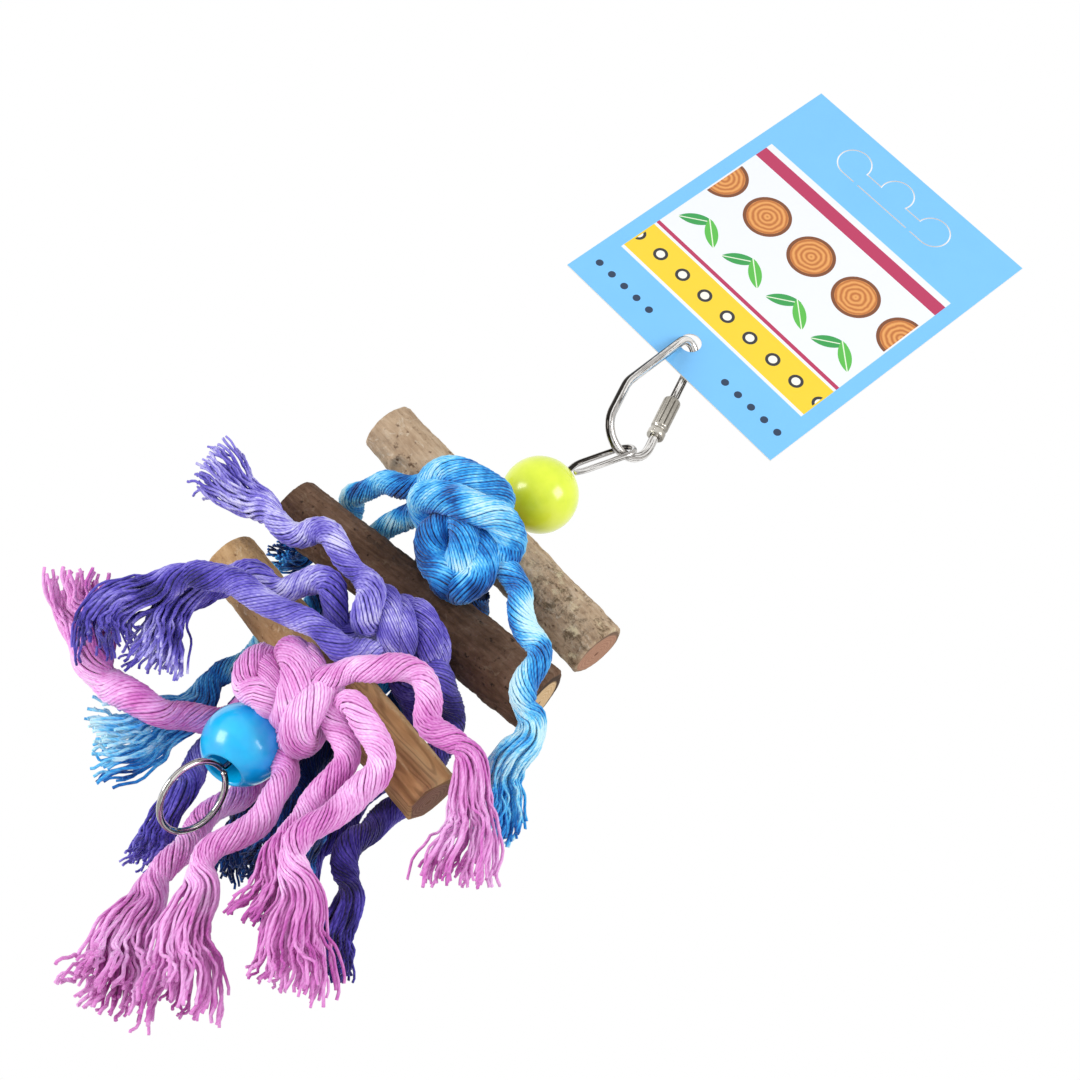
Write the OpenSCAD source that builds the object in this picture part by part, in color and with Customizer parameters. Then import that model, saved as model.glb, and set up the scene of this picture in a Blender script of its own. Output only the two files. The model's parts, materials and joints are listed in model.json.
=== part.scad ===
/* [Header card] */
// Width of the card
card_w = 80; // [70:1:100]
// Height of the card
card_h = 100; // [90:1:130]
// Thickness of the card
card_t = 0.5; // [0.4:0.1:1]
// How far the card leans to the right, in degrees
card_tilt = 4; // [0:1:8]
// Radius of the two end lobes of the hang slot
slot_r = 5; // [4:0.5:6]
// Distance between the centres of the two end lobes
slot_span = 31; // [26:1:40]
// Height of the middle bump above the end lobes' centres
slot_bump = 1.5; // [0.5:0.5:3]
// Distance from the top edge of the card to the lobes' centres
slot_down = 11; // [9:1:16]
// Width of the die-cut line round the slot's tongue
cut_gap = 0.4; // [0.3:0.1:0.5]
// Length of each nick that still holds the tongue
nick_len = 1.5; // [1:0.5:3]
// Diameter of the punched hole for the quick link
hole_d = 6; // [5:0.5:8]
// Height of the punched hole above the lower edge of the card
hole_up = 9; // [7:1:14]

/* [Quick link] */
// Diameter of the link's wire
link_wire = 2.5; // [2:0.1:3]
// Width of the link, between the middles of its wires
link_w = 15.2; // [14:0.2:18]
// Length of the link, between the middles of its wires
link_len = 41.6; // [40:0.2:50]
// Radius of the narrow top bend
link_top_r = 3.2; // [2.8:0.2:4]
// Height of the straight side above the lower bend
link_side = 8.4; // [6:0.2:12]
// How far the link leans to the left, in degrees
link_lean = 20.4; // [10:0.2:26]
// How far the link is turned out of the card's plane, in degrees
link_turn = 40; // [34:1:50]
// Length of the sleeve
sleeve_len = 13; // [11:0.5:15]
// Outside diameter of the sleeve
sleeve_d = 4.8; // [4.2:0.2:6]
// Number of flutes round the sleeve
flutes = 10; // [6:1:12]
// Height of the closed sleeve above the start of the long leg
sleeve_up = 3.4; // [2.5:0.1:5]
// Length of the gap in the wire that the sleeve closes
gap_len = 5; // [4:0.5:7]
// Play between the sleeve and the thread
thread_play = 0.1; // [0.08:0.01:0.2]

/* [Stem wire] */
// Diameter of the stem's wire
stem_wire_d = 1.6; // [1.4:0.1:2]
// Inside width of the long top eye
eye_in = 3.6; // [3.4:0.1:4.2]
// Length of the top eye above the bead, to the middle of its bend
eye_len = 19; // [17:0.5:24]
// How far the eye leans over, in degrees
eye_lean = 21; // [12:1:26]
// Compass turn of the lean, in degrees
eye_way = 0; // [-8:1:8]
// Roll of the eye about its own length, in degrees
eye_roll = -36; // [-42:1:-30]
// Play between the eye's bend and the link's wire
eye_play = 1.3; // [1.2:0.1:1.8]
// Place of the eye round the link's lower bend, in degrees from straight down
eye_at = 5; // [0:1:10]
// Diameter of the bottom ring, to the middle of its wire
ring_d = 18.2; // [15:0.2:24]
// Compass turn of the ring's plane, in degrees
ring_turn = 66.6; // [40:0.2:90]
// How far the ring hangs out of the stem's line, in x and y
ring_out = [3.4, -4.6];

/* [Beads] */
// Diameter of both beads
bead_d = 20; // [18:0.5:22]
// Bore of the top bead
top_bore = 3; // [2.4:0.2:4]
// Bore of the bottom bead
bottom_bore = 9.2; // [8.8:0.2:10]
// Width of the rounded rim at a bead's bore
rim_w = 0.7; // [0.4:0.1:1]
// How far the bottom bead tips on the wire, in degrees
bead_tip = 20; // [16:1:22]
// Compass turn of that tip, in degrees
bead_way = -36; // [-50:1:-20]

/* [Twigs] */
// Length of the upper twig
upper_len = 82; // [70:1:95]
// Diameter of the upper twig
upper_d = 15; // [13:0.5:17]
// Slope of the upper twig, in degrees
upper_slope = 4.9; // [0:0.1:8]
// Length of the middle twig
middle_len = 81; // [70:1:95]
// Diameter of the middle twig
middle_d = 16.4; // [14:0.2:17]
// Slope of the middle twig, in degrees
middle_slope = -4.8; // [-8:0.1:0]
// Length of the lower twig
lower_len = 81; // [70:1:95]
// Diameter of the lower twig at the stem
lower_d = 15.6; // [14:0.2:17]
// Slope of the lower twig, in degrees
lower_slope = 7.1; // [3:0.1:9]
// How much thinner or thicker the lower twig is at its ends
lower_taper = 1.6; // [0.4:0.1:2]
// Bore through each twig for the wire
twig_bore = 3; // [2.4:0.2:4]
// Width of the rubbed edge at each end of a twig
edge_w = 0.8; // [0.4:0.1:1.4]

/* [Ropes] */
// Thickness of one strand of the three-strand ropes
strand_d = 7.4; // [6:0.2:7.6]
// How much wider a frayed end is than its strand
fray = 1.3; // [1:0.1:1.4]
// Height of wire that the blue rope takes up
blue_bulk = 10.9; // [10:0.1:14]
// Height of wire that the purple rope takes up
purple_bulk = 13.2; // [12:0.1:16]
// Height of wire that the pink rope takes up
pink_bulk = 8.4; // [8:0.1:12]
// Play between the pieces threaded on the wire
play = 0.3; // [0.2:0.1:0.6]

/* [Hidden] */
$fn = 48;

// The card hangs from its slot at the origin, and the link hangs from the card's hole
hole_drop = card_h - slot_down - hole_up;
hole_at = [-hole_drop * sin(card_tilt), 0, -hole_drop * cos(card_tilt)];
link_r = link_wire / 2;
bend_r = link_w / 2;
hang_angle = 90;
hang_local = [link_top_r * (cos(hang_angle) - 1), 0,
    link_len - link_top_r * (1 - sin(hang_angle))];

// A point of the link's own plane, as it lies in the whole toy
function leaned(p) = [p[0] * cos(link_lean) - p[2] * sin(link_lean), p[1],
    p[0] * sin(link_lean) + p[2] * cos(link_lean)];
function turned(p) = [p[0] * cos(link_turn) - p[1] * sin(link_turn),
    p[0] * sin(link_turn) + p[1] * cos(link_turn), p[2]];
function on_link(p) = hole_at + leaned(turned(p - hang_local));

// The eye rides on the link's lower bend, and the stem hangs below it
eye_seat = on_link([-bend_r + bend_r * sin(eye_at), 0, bend_r * (1 - cos(eye_at))]);
wire_r = stem_wire_d / 2;
eye_r = (eye_in + stem_wire_d) / 2;
eye_dir = [sin(eye_lean) * cos(eye_way), sin(eye_lean) * sin(eye_way), cos(eye_lean)];
eye_base = [0, 0, bead_d / 2];
eye_seat_up = eye_len - wire_r - link_r - eye_play;
stem_at = eye_seat - eye_base - eye_dir * eye_seat_up;

// Heights down the stem, measured from the middle of the top bead
upper_z = -(bead_d + upper_d) / 2 - play;
blue_z = upper_z - upper_d / 2 - blue_bulk / 2;
middle_z = blue_z - blue_bulk / 2 - middle_d / 2;
purple_z = middle_z - middle_d / 2 - purple_bulk / 2;
lower_z = purple_z - purple_bulk / 2 - lower_d / 2;
pink_z = lower_z - lower_d / 2 - pink_bulk / 2;
bottom_z = pink_z - pink_bulk / 2 - bead_d / 2;
mouth = sqrt(pow(bead_d / 2, 2) - pow(bottom_bore / 2, 2));
ring_top = bottom_z - mouth * cos(bead_tip) - 0.4;
ring_z = ring_top - ring_d / 2;
front = max(upper_d, middle_d, lower_d) / 2;

// Strand routes from the middle of each knot: chosen by hand, right, back and up
blue_1 = [[11, -12, 4.5], [18.5, -17, 2.5], [26, -17.5, -3.5], [35, -17, -8], [42, -15, -18],
    [47.5, -11, -29.5], [59, -3.5, -46]];
blue_2 = [[-13, -16.5, 10], [-17, -14, 6], [-22, -8.5, 2.5], [-28.5, -5, 0.5], [-32.5, 2.5, -2],
    [-33, 11, -5.5], [-34.5, 17, -13], [-36, 16.5, -20], [-39, 12.5, -24]];
blue_3 = [[-9.5, -12, 4.5], [-16.5, -2, 2.5], [-21.5, 3.5, -1], [-22.5, 12, -5.5], [-23, 17, -14.5],
    [-22.5, 17.5, -27.5], [-22.5, 16.5, -45.5], [-22, 14, -60], [-20.5, 12, -75], [-27.5, 8, -94]];
blue_4 = [[0, 5, 1], [2, 16, -6], [4, 18, -30], [11, 18, -60], [23, 9, -86]];
blue_5 = [[-8, 4, 1], [-8, 15, -6], [-5, 18, -30], [2, 23, -68], [17, 20, -88]];
blue_6 = [[8, 4, 1], [11, 15, -6], [12, 18, -28], [17, 12, -58], [31, 0, -81]];
purple_1 = [[3, -10, -1], [2.5, -18.5, -3], [-1.5, -20.5, 1], [-8, -20, 3.5], [-15, -19.5, 4.5],
    [-22.5, -18.5, 4.5], [-27.5, -16, 1], [-36, -14.5, 0], [-48, -12.5, 0], [-57.5, -10.5, -1.5]];
purple_2 = [[9, -13.5, -6.5], [4.5, -17.5, -11.5], [-2.5, -20.5, -14.5], [-11, -21.5, -16],
    [-19, -20.5, -19.5], [-26.5, -21.5, -20.5], [-32, -20.5, -24], [-36.5, -17, -30],
    [-42, -13, -37.5], [-41, -12.5, -46], [-36, -12, -51]];
purple_3 = [[-3, -12, -8.5], [-6, -15.5, -5], [-11, -17, -3.5], [-16, -16, -7], [-20, -14, -11.5],
    [-26.5, -14, -14], [-31, -11.5, -20.5], [-33.5, -9.5, -29], [-31, -9.5, -38], [-25.5, -8, -44.5]];
purple_4 = [[17, -10.5, 3], [24, -3.5, 3], [30, 10, -3], [32.5, 16.5, -18.5], [33.5, 8, -36.5],
    [42, 5.5, -46], [49, 5.5, -55.5], [54, 6, -63]];
purple_5 = [[-6, 3, -1], [-13, 12, -3], [-13, 16, -14], [-13.5, 18.5, -33], [-6, 14, -56],
    [-2, 15, -65.5], [1, 14.5, -75]];
purple_6 = [[12, 2, -1], [20, 12, -4], [23, 18, -18], [28, 15, -44], [36, 13, -62]];
pink_1 = [[-7, 1, -2], [-11, 9, -8], [-13.5, 8, -15], [-17, 4, -19], [-23, 0.5, -23.5],
    [-31, -0.5, -27], [-39.5, -2, -25.5], [-49, -2, -21], [-58.5, -3, -13.5]];
pink_2 = [[5, -15.5, 5], [9, -18.5, 9.5], [13.5, -21.5, 14.5], [18.5, -23, 19], [25, -21.5, 20],
    [30.5, -19, 16.5], [37.5, -18, 17], [45.5, -17, 15.5], [52, -15, 8], [61.5, -11, -6]];
pink_3 = [[12.5, -12.5, 4.5], [17, -17.5, 6], [24, -19.5, 4.5], [30.5, -18.5, 0], [33.5, -17.5, -7.5],
    [32, -18, -15], [31.5, -17, -22.5], [35, -16.5, -29.5], [41.5, -13.5, -34], [53.5, -6.5, -48]];
pink_4 = [[13, -12.5, -2], [17, -13.5, -3], [22.5, -12.5, -4.5], [25, -10.5, -11], [24.5, -9, -18],
    [27.5, -9.5, -25], [32, -10, -34], [36.5, -8.5, -43.5]];
pink_5 = [[9.5, -8.5, -7], [13.5, -8.5, -11.5], [17, -6.5, -18.5], [18, -5.5, -27.5],
    [16.5, -5.5, -34.5], [17.5, -5, -42], [23, -4, -50.5], [39, -3, -67]];
pink_6 = [[3, 5, -1], [4, 13.5, -4], [4, 14.5, -16.5], [4, 12.5, -25], [6, 8.5, -35.5],
    [9.5, 5.5, -46.5], [14, 3.5, -59], [27, -2, -78]];

// Lobes of each knot: right, out in front of the twigs, and up, with the lobe's radius last
blue_lobes = [
    [3.9, [-15, 6.3, 6], [-13.5, 11.8, 9], [-9.5, 13.8, 11], [-5, 12.8, 13], [0, 8.8, 15]],
    [4.3, [-13, 7.3, 1.5], [-7, 12.8, 4], [0.5, 14.8, 6], [6, 14.3, 8.5], [10, 9.3, 8.5], [11, 5.8, 5]],
    [4.4, [-5, 4.3, 1.5], [-4, 6.8, -4.5], [0.5, 5.3, -7.5], [6.5, 5.3, -8.5]],
    [4.1, [-2.5, 7.3, 4.5], [3, 10.3, 0], [6, 6.8, -5]],
    [4.4, [1, 5.8, 6.5], [7, 7.8, 2.5], [11, 7.3, -3], [10.5, 6.3, -7.5]]];
purple_lobes = [
    [4.2, [1, 3.8, 1.5], [5, 2.8, -2], [8, 1.3, -6]],
    [3.6, [6, 1.8, -3.5], [0, 3.3, -8]],
    [3.3, [-0.5, 5.8, 5.5], [5, 10.3, 2], [8.5, 7.8, -1.5], [10.5, 0.3, -3.5]],
    [2.8, [3.5, 5.3, 6.5], [9, 9.8, 3], [12, 6.3, 0.5], [12, -0.2, -1.5]],
    [2.6, [3.5, 4.3, 8], [8.5, 6.8, 7], [11, 3.8, 4.5], [11.5, -1.7, 2.5]],
    [3.4, [7.5, 5.8, 8.5], [12.5, 6.8, 7], [16, 4.3, 4.5], [16.5, -3.7, 2]],
    [2.6, [11.5, 3.3, 9], [16.5, 3.3, 7.5], [18.5, -0.7, 4.5]]];
pink_lobes = [
    [3.9, [-10, 0.3, 2], [-9.5, 2.8, -3], [-6.5, 1.3, -6], [-1, 4.3, -5.5]],
    [2.9, [-8.5, 1.8, 1], [-3, 4.8, -2], [2, 2.8, -4.5]],
    [4.3, [-5.5, 4.3, 6.5], [-0.5, 7.8, 4], [3, 7.3, 0.5], [4.5, 2.3, -4]],
    [3.4, [-2, 5.3, 8], [3, 7.3, 6], [5.5, 4.8, 3]],
    [4.2, [6.5, 4.8, 4.5], [8, 6.3, -0.5], [9, 3.8, -5], [10, 0.8, -6]],
    [3, [10.5, -1.7, -0.5], [12.5, -1.2, -3.5], [11.5, -3.2, -5.5]]];

// Places a piece that is threaded on the stem
module on_stem(z = 0) {
    translate(stem_at + [0, 0, z]) children();
}

// A round rod from one point to another
module rod(a, b, r) {
    v = b - a;
    flat = norm([v[0], v[1]]);
    translate(a) rotate([0, atan2(flat, v[2]), atan2(v[1], v[0])]) cylinder(h = norm(v), r = r);
}

// A ball that closes the joint between two lengths of wire
module joint(p, r) {
    translate(p) sphere(r = r + 0.05);
}

// Outline of the hang slot, grown by g
module slot_outline(g) {
    for (side = [-1, 1]) translate([side * slot_span / 2, 0]) circle(r = slot_r + g);
    translate([0, slot_bump]) circle(r = slot_r + g);
    translate([-slot_span / 2, -slot_r - g]) square([slot_span, slot_r + 2 * g]);
}

// The die-cut line: a thin gap round the tongue, broken by the nicks
module slot_line() {
    difference() {
        slot_outline(cut_gap / 2);
        slot_outline(-cut_gap / 2);
        for (side = [-1, 1])
            translate([side * slot_span / 3 - nick_len / 2, -slot_r - 1]) square([nick_len, 2]);
    }
}

module header_card() {
    color("#79c4fb") rotate([0, card_tilt, 0]) rotate([90, 0, 0])
        linear_extrude(height = card_t, center = true) difference() {
            translate([-card_w / 2, slot_down - card_h]) square([card_w, card_h]);
            slot_line();
            translate([0, -hole_drop]) circle(d = hole_d);
        }
}

// A bend of the link, in its own plane, from one angle over a sweep
module link_bend(centre, r, start, sweep) {
    translate([centre[0], 0, centre[1]]) rotate([90, 0, 0])
        rotate([0, 0, start]) rotate_extrude(angle = sweep) translate([r, 0]) circle(r = link_r);
}

// Places a piece drawn in the link's own plane
module in_link() {
    translate(hole_at) rotate([0, -link_lean, 0]) rotate([0, 0, link_turn])
        translate(-hang_local) children();
}

// Bends of the pear-shaped link, with the long leg on the z axis
low_c = [-bend_r, bend_r];
side_c = [-bend_r, bend_r + link_side];
top_c = [-link_top_r, link_len - link_top_r];
slant = top_c - side_c;
slant_turn = atan2(slant[1], slant[0]) + acos((bend_r - link_top_r) / norm(slant));
leg_end = link_len - link_top_r;
gap_low = bend_r + sleeve_up + (sleeve_len - gap_len) / 2 - 2;
gap_high = gap_low + gap_len;

module quick_link() {
    out = [cos(slant_turn), sin(slant_turn)];
    a = side_c + out * bend_r;
    b = top_c + out * link_top_r;
    color("#c3c6c8") in_link() union() {
        link_bend(low_c, bend_r, 180, 180);
        rod([-link_w, 0, bend_r], [-link_w, 0, side_c[1]], link_r);
        link_bend(side_c, bend_r, slant_turn, 180 - slant_turn);
        rod([a[0], 0, a[1]], [b[0], 0, b[1]], link_r);
        link_bend(top_c, link_top_r, 0, slant_turn);
        rod([0, 0, bend_r], [0, 0, gap_low], link_r);
        rod([0, 0, gap_high], [0, 0, leg_end], link_r);
        for (p = [[-link_w, 0, bend_r], [-link_w, 0, side_c[1]], [a[0], 0, a[1]], [b[0], 0, b[1]],
                [0, 0, leg_end], [0, 0, bend_r]])
            joint(p, link_r);
    }
}

// Half profile of the sleeve: a collar, a neck, the fluted barrel and a chamfer
module sleeve_profile() {
    inner = link_r + thread_play;
    r = sleeve_d / 2;
    polygon([[inner, 0], [r - 0.4, 0], [r, 0.4], [r, 1.8], [r - 0.5, 2.2], [r - 0.5, 2.8],
        [r, 3.2], [r, sleeve_len - 0.8], [r - 0.7, sleeve_len], [inner, sleeve_len]]);
}

module link_sleeve() {
    r = sleeve_d / 2;
    color("#b9b8b0") in_link() translate([0, 0, bend_r + sleeve_up]) difference() {
        rotate_extrude() sleeve_profile();
        for (i = [0 : flutes - 1]) rotate([0, 0, i * 360 / flutes])
            translate([r + 0.15, 0, 3.4]) cylinder(h = sleeve_len - 3.2, r = 0.45, $fn = 16);
    }
}

// The eye is drawn along z from its base, with its legs to the left and right
module in_eye() {
    translate(eye_base) rotate([0, 0, eye_way]) rotate([0, eye_lean, 0])
        rotate([0, 0, eye_roll - eye_way]) children();
}

module stem_eye() {
    leg_top = eye_len - eye_r;
    neck = 4;
    union() {
        rod([0, 0, 0], [-eye_r, 0, neck], wire_r);
        joint([-eye_r, 0, neck], wire_r);
        rod([-eye_r, 0, neck], [-eye_r, 0, leg_top], wire_r);
        joint([-eye_r, 0, leg_top], wire_r);
        joint([eye_r, 0, leg_top], wire_r);
        translate([0, 0, leg_top]) rotate([90, 0, 0])
            rotate_extrude(angle = 180) translate([eye_r, 0]) circle(r = wire_r);
        rod([eye_r, 0, leg_top], [eye_r, 0, neck], wire_r);
        joint([eye_r, 0, neck], wire_r);
        rod([eye_r, 0, neck], [stem_wire_d * 1.1, 0, 1.6], wire_r);
    }
}

module stem_wire() {
    kink = [0, 0, bottom_z - 1];
    corner = [ring_out[0], ring_out[1], ring_top];
    color("#bfc0c0") on_stem() union() {
        rod(kink, eye_base, wire_r);
        joint(kink, wire_r);
        rod(kink, corner, wire_r);
        joint(corner, wire_r);
        translate([ring_out[0], ring_out[1], ring_z]) rotate([90, 0, ring_turn])
            rotate_extrude() translate([ring_d / 2, 0]) circle(r = wire_r);
        joint(eye_base, wire_r);
        in_eye() stem_eye();
    }
}

// A ball with a bore and eased rims
module bead(bore) {
    r = bead_d / 2;
    h = sqrt(r * r - pow(bore / 2, 2));
    difference() {
        sphere(r = r, $fn = 64);
        cylinder(h = bead_d + 2, r = bore / 2, center = true);
        for (side = [-1, 1]) scale([1, 1, 1]) translate([0, 0, side * h]) rotate([90 - side * 90, 0, 0])
            translate([0, 0, -rim_w])
                cylinder(h = 2 * rim_w, r1 = bore / 2, r2 = bore / 2 + 2 * rim_w);
    }
}

module top_bead() {
    color("#dcee3e") on_stem() bead(top_bore);
}

module bottom_bead() {
    color("#1fa5ea") on_stem(bottom_z) rotate([0, 0, bead_way]) rotate([0, -bead_tip, 0])
        bead(bottom_bore);
}

// A cut length of twig along x: ends rubbed round, a little thinner where it bows
module twig(len, d, grow) {
    r = d / 2;
    l = len / 2;
    rl = r - grow / 2;
    rr = r + grow / 2;
    rotate([0, 90, 0]) rotate_extrude()
        polygon([[0, -l], [rl - edge_w, -l], [rl - edge_w * 0.3, -l + edge_w * 0.3], [rl, -l + edge_w],
            [r - grow * 0.27, -l * 0.5], [r, 0], [r + grow * 0.22, l * 0.45], [rr, l - edge_w],
            [rr - edge_w * 0.3, l - edge_w * 0.3], [rr - edge_w, l], [0, l]]);
}

// The wire's way through a twig that lies at a slope
module wire_way() {
    cylinder(h = 60, r = twig_bore / 2, center = true);
}

// A pruned side shoot: a low collar with a hollow in the middle
module bud_collar(r, h) {
    difference() {
        cylinder(h = h, r1 = r + h, r2 = r);
        translate([0, 0, h + r]) sphere(r = r * 1.25);
    }
}

module upper_twig() {
    color("#b09a80") on_stem(upper_z) difference() {
        rotate([0, upper_slope, 0]) union() {
            twig(upper_len, upper_d, 0.2);
            translate([-28, -upper_d * 0.42, -upper_d * 0.2]) rotate([115, 0, 0])
                translate([0, 0, -1]) bud_collar(2.2, 2.2);
        }
        wire_way();
    }
}

module middle_twig() {
    color("#5a4636") on_stem(middle_z) difference() {
        rotate([0, middle_slope, 0]) twig(middle_len, middle_d, 0.9);
        wire_way();
    }
}

module lower_twig() {
    color("#c39d6b") on_stem(lower_z) difference() {
        rotate([0, lower_slope, 0]) difference() {
            twig(lower_len, lower_d, lower_taper);
            translate([lower_len / 2, -lower_d * 0.9, 0]) rotate([0, 0, 7])
                cube([lower_len * 0.9, lower_d, lower_d * 1.6], center = true);
            translate([lower_len / 2 + 3.4, 0, -lower_d * 0.42]) rotate([0, 52, 0])
                cube([8, lower_d * 1.6, 8], center = true);
        }
        wire_way();
    }
}

// One lobe of a knot: balls joined one after another
module lobe(r, points) {
    for (i = [0 : len(points) - 2]) hull() {
        translate(points[i]) sphere(r = r, $fn = 14);
        translate(points[i + 1]) sphere(r = r, $fn = 14);
    }
}

function lobe_points(row) = [for (i = [1 : len(row) - 1])
    [row[i][0], -front - row[i][1], row[i][2]]];

// A knot: the turn round the wire, its way to the front, and the lobes in front
module knot(lobes, turn, turn_r, ways) {
    difference() {
        union() {
            lobe(turn_r, turn);
            for (w = ways) lobe(turn_r, w);
            for (row = lobes) lobe(row[0], lobe_points(row));
        }
        cylinder(h = 60, r = wire_r + 0.1, center = true, $fn = 24);
    }
}

module blue_knot() {
    color("#2f86dc") on_stem(blue_z)
        knot(blue_lobes, [[-8, -3, 0], [0, 0, 0], [8, -3, 0]], blue_bulk / 2 - 1,
            [[[-4, -2, 0], [-3, -front - 7, 0]], [[4, -2, 0], [6, -front - 8, 1]]]);
}

module purple_knot() {
    color("#7b6cd0") on_stem(purple_z)
        knot(purple_lobes, [[-7, -2, 0], [0, 0, 0], [13, -3, 0]], purple_bulk / 2 - 1.4,
            [[[6, -3, 0], [4, -front - 6, 0]], [[12, -3, 0], [15, -front - 4, 3]]]);
}

module pink_knot() {
    color("#e98fd6") on_stem(pink_z)
        knot(pink_lobes, [[-7, -1, 0.5], [0, 0, 0], [8, -2, -1]], pink_bulk / 2 - 0.7,
            [[[-6, -2, 0], [-9, -front, -1]], [[2, -2, 0], [4, -front - 6, 0]],
                [[7, -3, -1], [9, -front - 3, -2]]]);
}

// Directions along a route and across it
function unit(v) = v / norm(v);
function along(p, i) = unit(p[min(i + 1, len(p) - 1)] - p[max(i - 1, 0)]);
function across(t) = unit(cross(t, abs(t[1]) < 0.8 ? [0, 1, 0] : [1, 0, 0]));

// A ring of points across the route at point i
function ring_at(p, i, r, sides) = let (t = along(p, i), u = across(t), v = cross(t, u))
    [for (k = [0 : sides - 1]) p[i] + r * (cos(k * 360 / sides) * u + sin(k * 360 / sides) * v)];

// A strand: a plain tube along its route, widening into its frayed end
module strand(route, wide) {
    sides = 8;
    n = len(route);
    rings = [for (k = [0 : n - 1])
        ring_at(route, k, strand_d / 2 * (k == n - 1 ? wide : 1), sides)];
    points = [for (ring = rings) each ring];
    walls = [for (k = [0 : n - 2]) for (j = [0 : sides - 1])
        let (a = k * sides + j, b = k * sides + (j + 1) % sides)
        each [[a, a + sides, b], [b, a + sides, b + sides]]];
    start_cap = [for (j = [0 : sides - 1]) j];
    end_cap = [for (j = [sides - 1 : -1 : 0]) (n - 1) * sides + j];
    polyhedron(points, concat([start_cap], walls, [end_cap]));
}

module blue_strand(route, wide = fray) {
    color("#4ea3ea") on_stem(blue_z) strand(route, wide);
}

module purple_strand(route, wide = fray) {
    color("#8676d8") on_stem(purple_z) strand(route, wide);
}

module pink_strand(route, wide = fray) {
    color("#ee9fdd") on_stem(pink_z) strand(route, wide);
}

header_card();
quick_link();
link_sleeve();
stem_wire();
top_bead();
upper_twig();
blue_knot();
blue_strand(blue_1);  // blue_strand_1
blue_strand(blue_2, 1);  // blue_strand_2
blue_strand(blue_3);  // blue_strand_3
blue_strand(blue_4);  // blue_strand_4
blue_strand(blue_5);  // blue_strand_5
blue_strand(blue_6);  // blue_strand_6
middle_twig();
purple_knot();
purple_strand(purple_1);  // purple_strand_1
purple_strand(purple_2);  // purple_strand_2
purple_strand(purple_3);  // purple_strand_3
purple_strand(purple_4);  // purple_strand_4
purple_strand(purple_5);  // purple_strand_5
purple_strand(purple_6);  // purple_strand_6
lower_twig();
pink_knot();
pink_strand(pink_1);  // pink_strand_1
pink_strand(pink_2);  // pink_strand_2
pink_strand(pink_3);  // pink_strand_3
pink_strand(pink_4);  // pink_strand_4
pink_strand(pink_5);  // pink_strand_5
pink_strand(pink_6);  // pink_strand_6
bottom_bead();
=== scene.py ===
import json
import math

import bpy
import numpy as np
from mathutils import Matrix, Vector, noise


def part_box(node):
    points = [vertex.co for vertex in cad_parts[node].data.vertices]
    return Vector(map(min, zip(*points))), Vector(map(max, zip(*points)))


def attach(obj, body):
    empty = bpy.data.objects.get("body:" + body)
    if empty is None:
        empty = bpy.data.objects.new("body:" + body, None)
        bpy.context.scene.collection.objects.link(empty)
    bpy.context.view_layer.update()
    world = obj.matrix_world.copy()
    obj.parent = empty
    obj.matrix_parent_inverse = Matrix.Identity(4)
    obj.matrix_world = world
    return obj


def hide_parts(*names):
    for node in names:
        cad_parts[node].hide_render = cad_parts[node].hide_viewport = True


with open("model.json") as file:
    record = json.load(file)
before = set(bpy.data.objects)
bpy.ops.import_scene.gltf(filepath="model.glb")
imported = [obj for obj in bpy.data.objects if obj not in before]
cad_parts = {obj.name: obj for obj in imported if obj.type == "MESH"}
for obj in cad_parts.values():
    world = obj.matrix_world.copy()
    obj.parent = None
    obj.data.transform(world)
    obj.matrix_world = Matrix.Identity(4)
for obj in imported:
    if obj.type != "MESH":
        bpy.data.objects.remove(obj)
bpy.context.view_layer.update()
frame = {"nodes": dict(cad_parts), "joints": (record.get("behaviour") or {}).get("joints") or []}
print("frame loaded")

beadLow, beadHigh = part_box("top_bead")
stemAt = (beadLow + beadHigh) / 2  # middle of the top bead: the stem hangs from here
joints = {joint["name"]: joint for joint in frame["joints"]}
fullTurn = 2 * math.pi


# Node trees: their outputs can be added, multiplied and compared

# One output in a node tree: arithmetic on it adds Math nodes
class Value:
    def __init__(self, tree, socket):
        self.tree, self.socket = tree, socket

    def calc(self, operation, second=0.0, third=0.0):
        return result(self.tree, "ShaderNodeMath", {0: self, 1: second, 2: third}, operation=operation)

    def __add__(self, other):
        return self.calc("ADD", other)

    def __sub__(self, other):
        return self.calc("SUBTRACT", other)

    def __rsub__(self, other):
        return result(self.tree, "ShaderNodeMath", {0: other, 1: self}, operation="SUBTRACT")

    def __mul__(self, other):
        return self.calc("MULTIPLY", other)

    def __truediv__(self, other):
        return self.calc("DIVIDE", other)

    def __pow__(self, other):
        return self.calc("POWER", other)

    def __gt__(self, other):
        return self.calc("GREATER_THAN", other)

    def __lt__(self, other):
        return self.calc("LESS_THAN", other)

    def __abs__(self):
        return self.calc("ABSOLUTE")

    __radd__ = __add__


def addNode(tree, kind, inputs=None, **settings):
    node = tree.nodes.new(kind)
    for key, value in settings.items():
        setattr(node, key, value)
    for key, value in (inputs or {}).items():
        if isinstance(value, Value):
            tree.links.new(value.socket, node.inputs[key])
        else:
            node.inputs[key].default_value = value
    return node


# One output of a new node
def result(tree, kind, inputs=None, output=0, **settings):
    return Value(tree, addNode(tree, kind, inputs, **settings).outputs[output])


def outlets(tree, node):
    return {socket.name: Value(tree, socket) for socket in node.outputs}


def feed(shader, socket, value):
    value.tree.links.new(value.socket, shader.inputs[socket])


# The three components of a vector
def parts(vector):
    return list(outlets(vector.tree, addNode(vector.tree, "ShaderNodeSeparateXYZ", {0: vector})).values())


# Linear colour of a hex code
def ink(code):
    values = [int(code[i:i + 2], 16) / 255 for i in (1, 3, 5)]
    return [v / 12.92 if v <= 0.04045 else ((v + 0.055) / 1.055) ** 2.4 for v in values] + [1]


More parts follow.
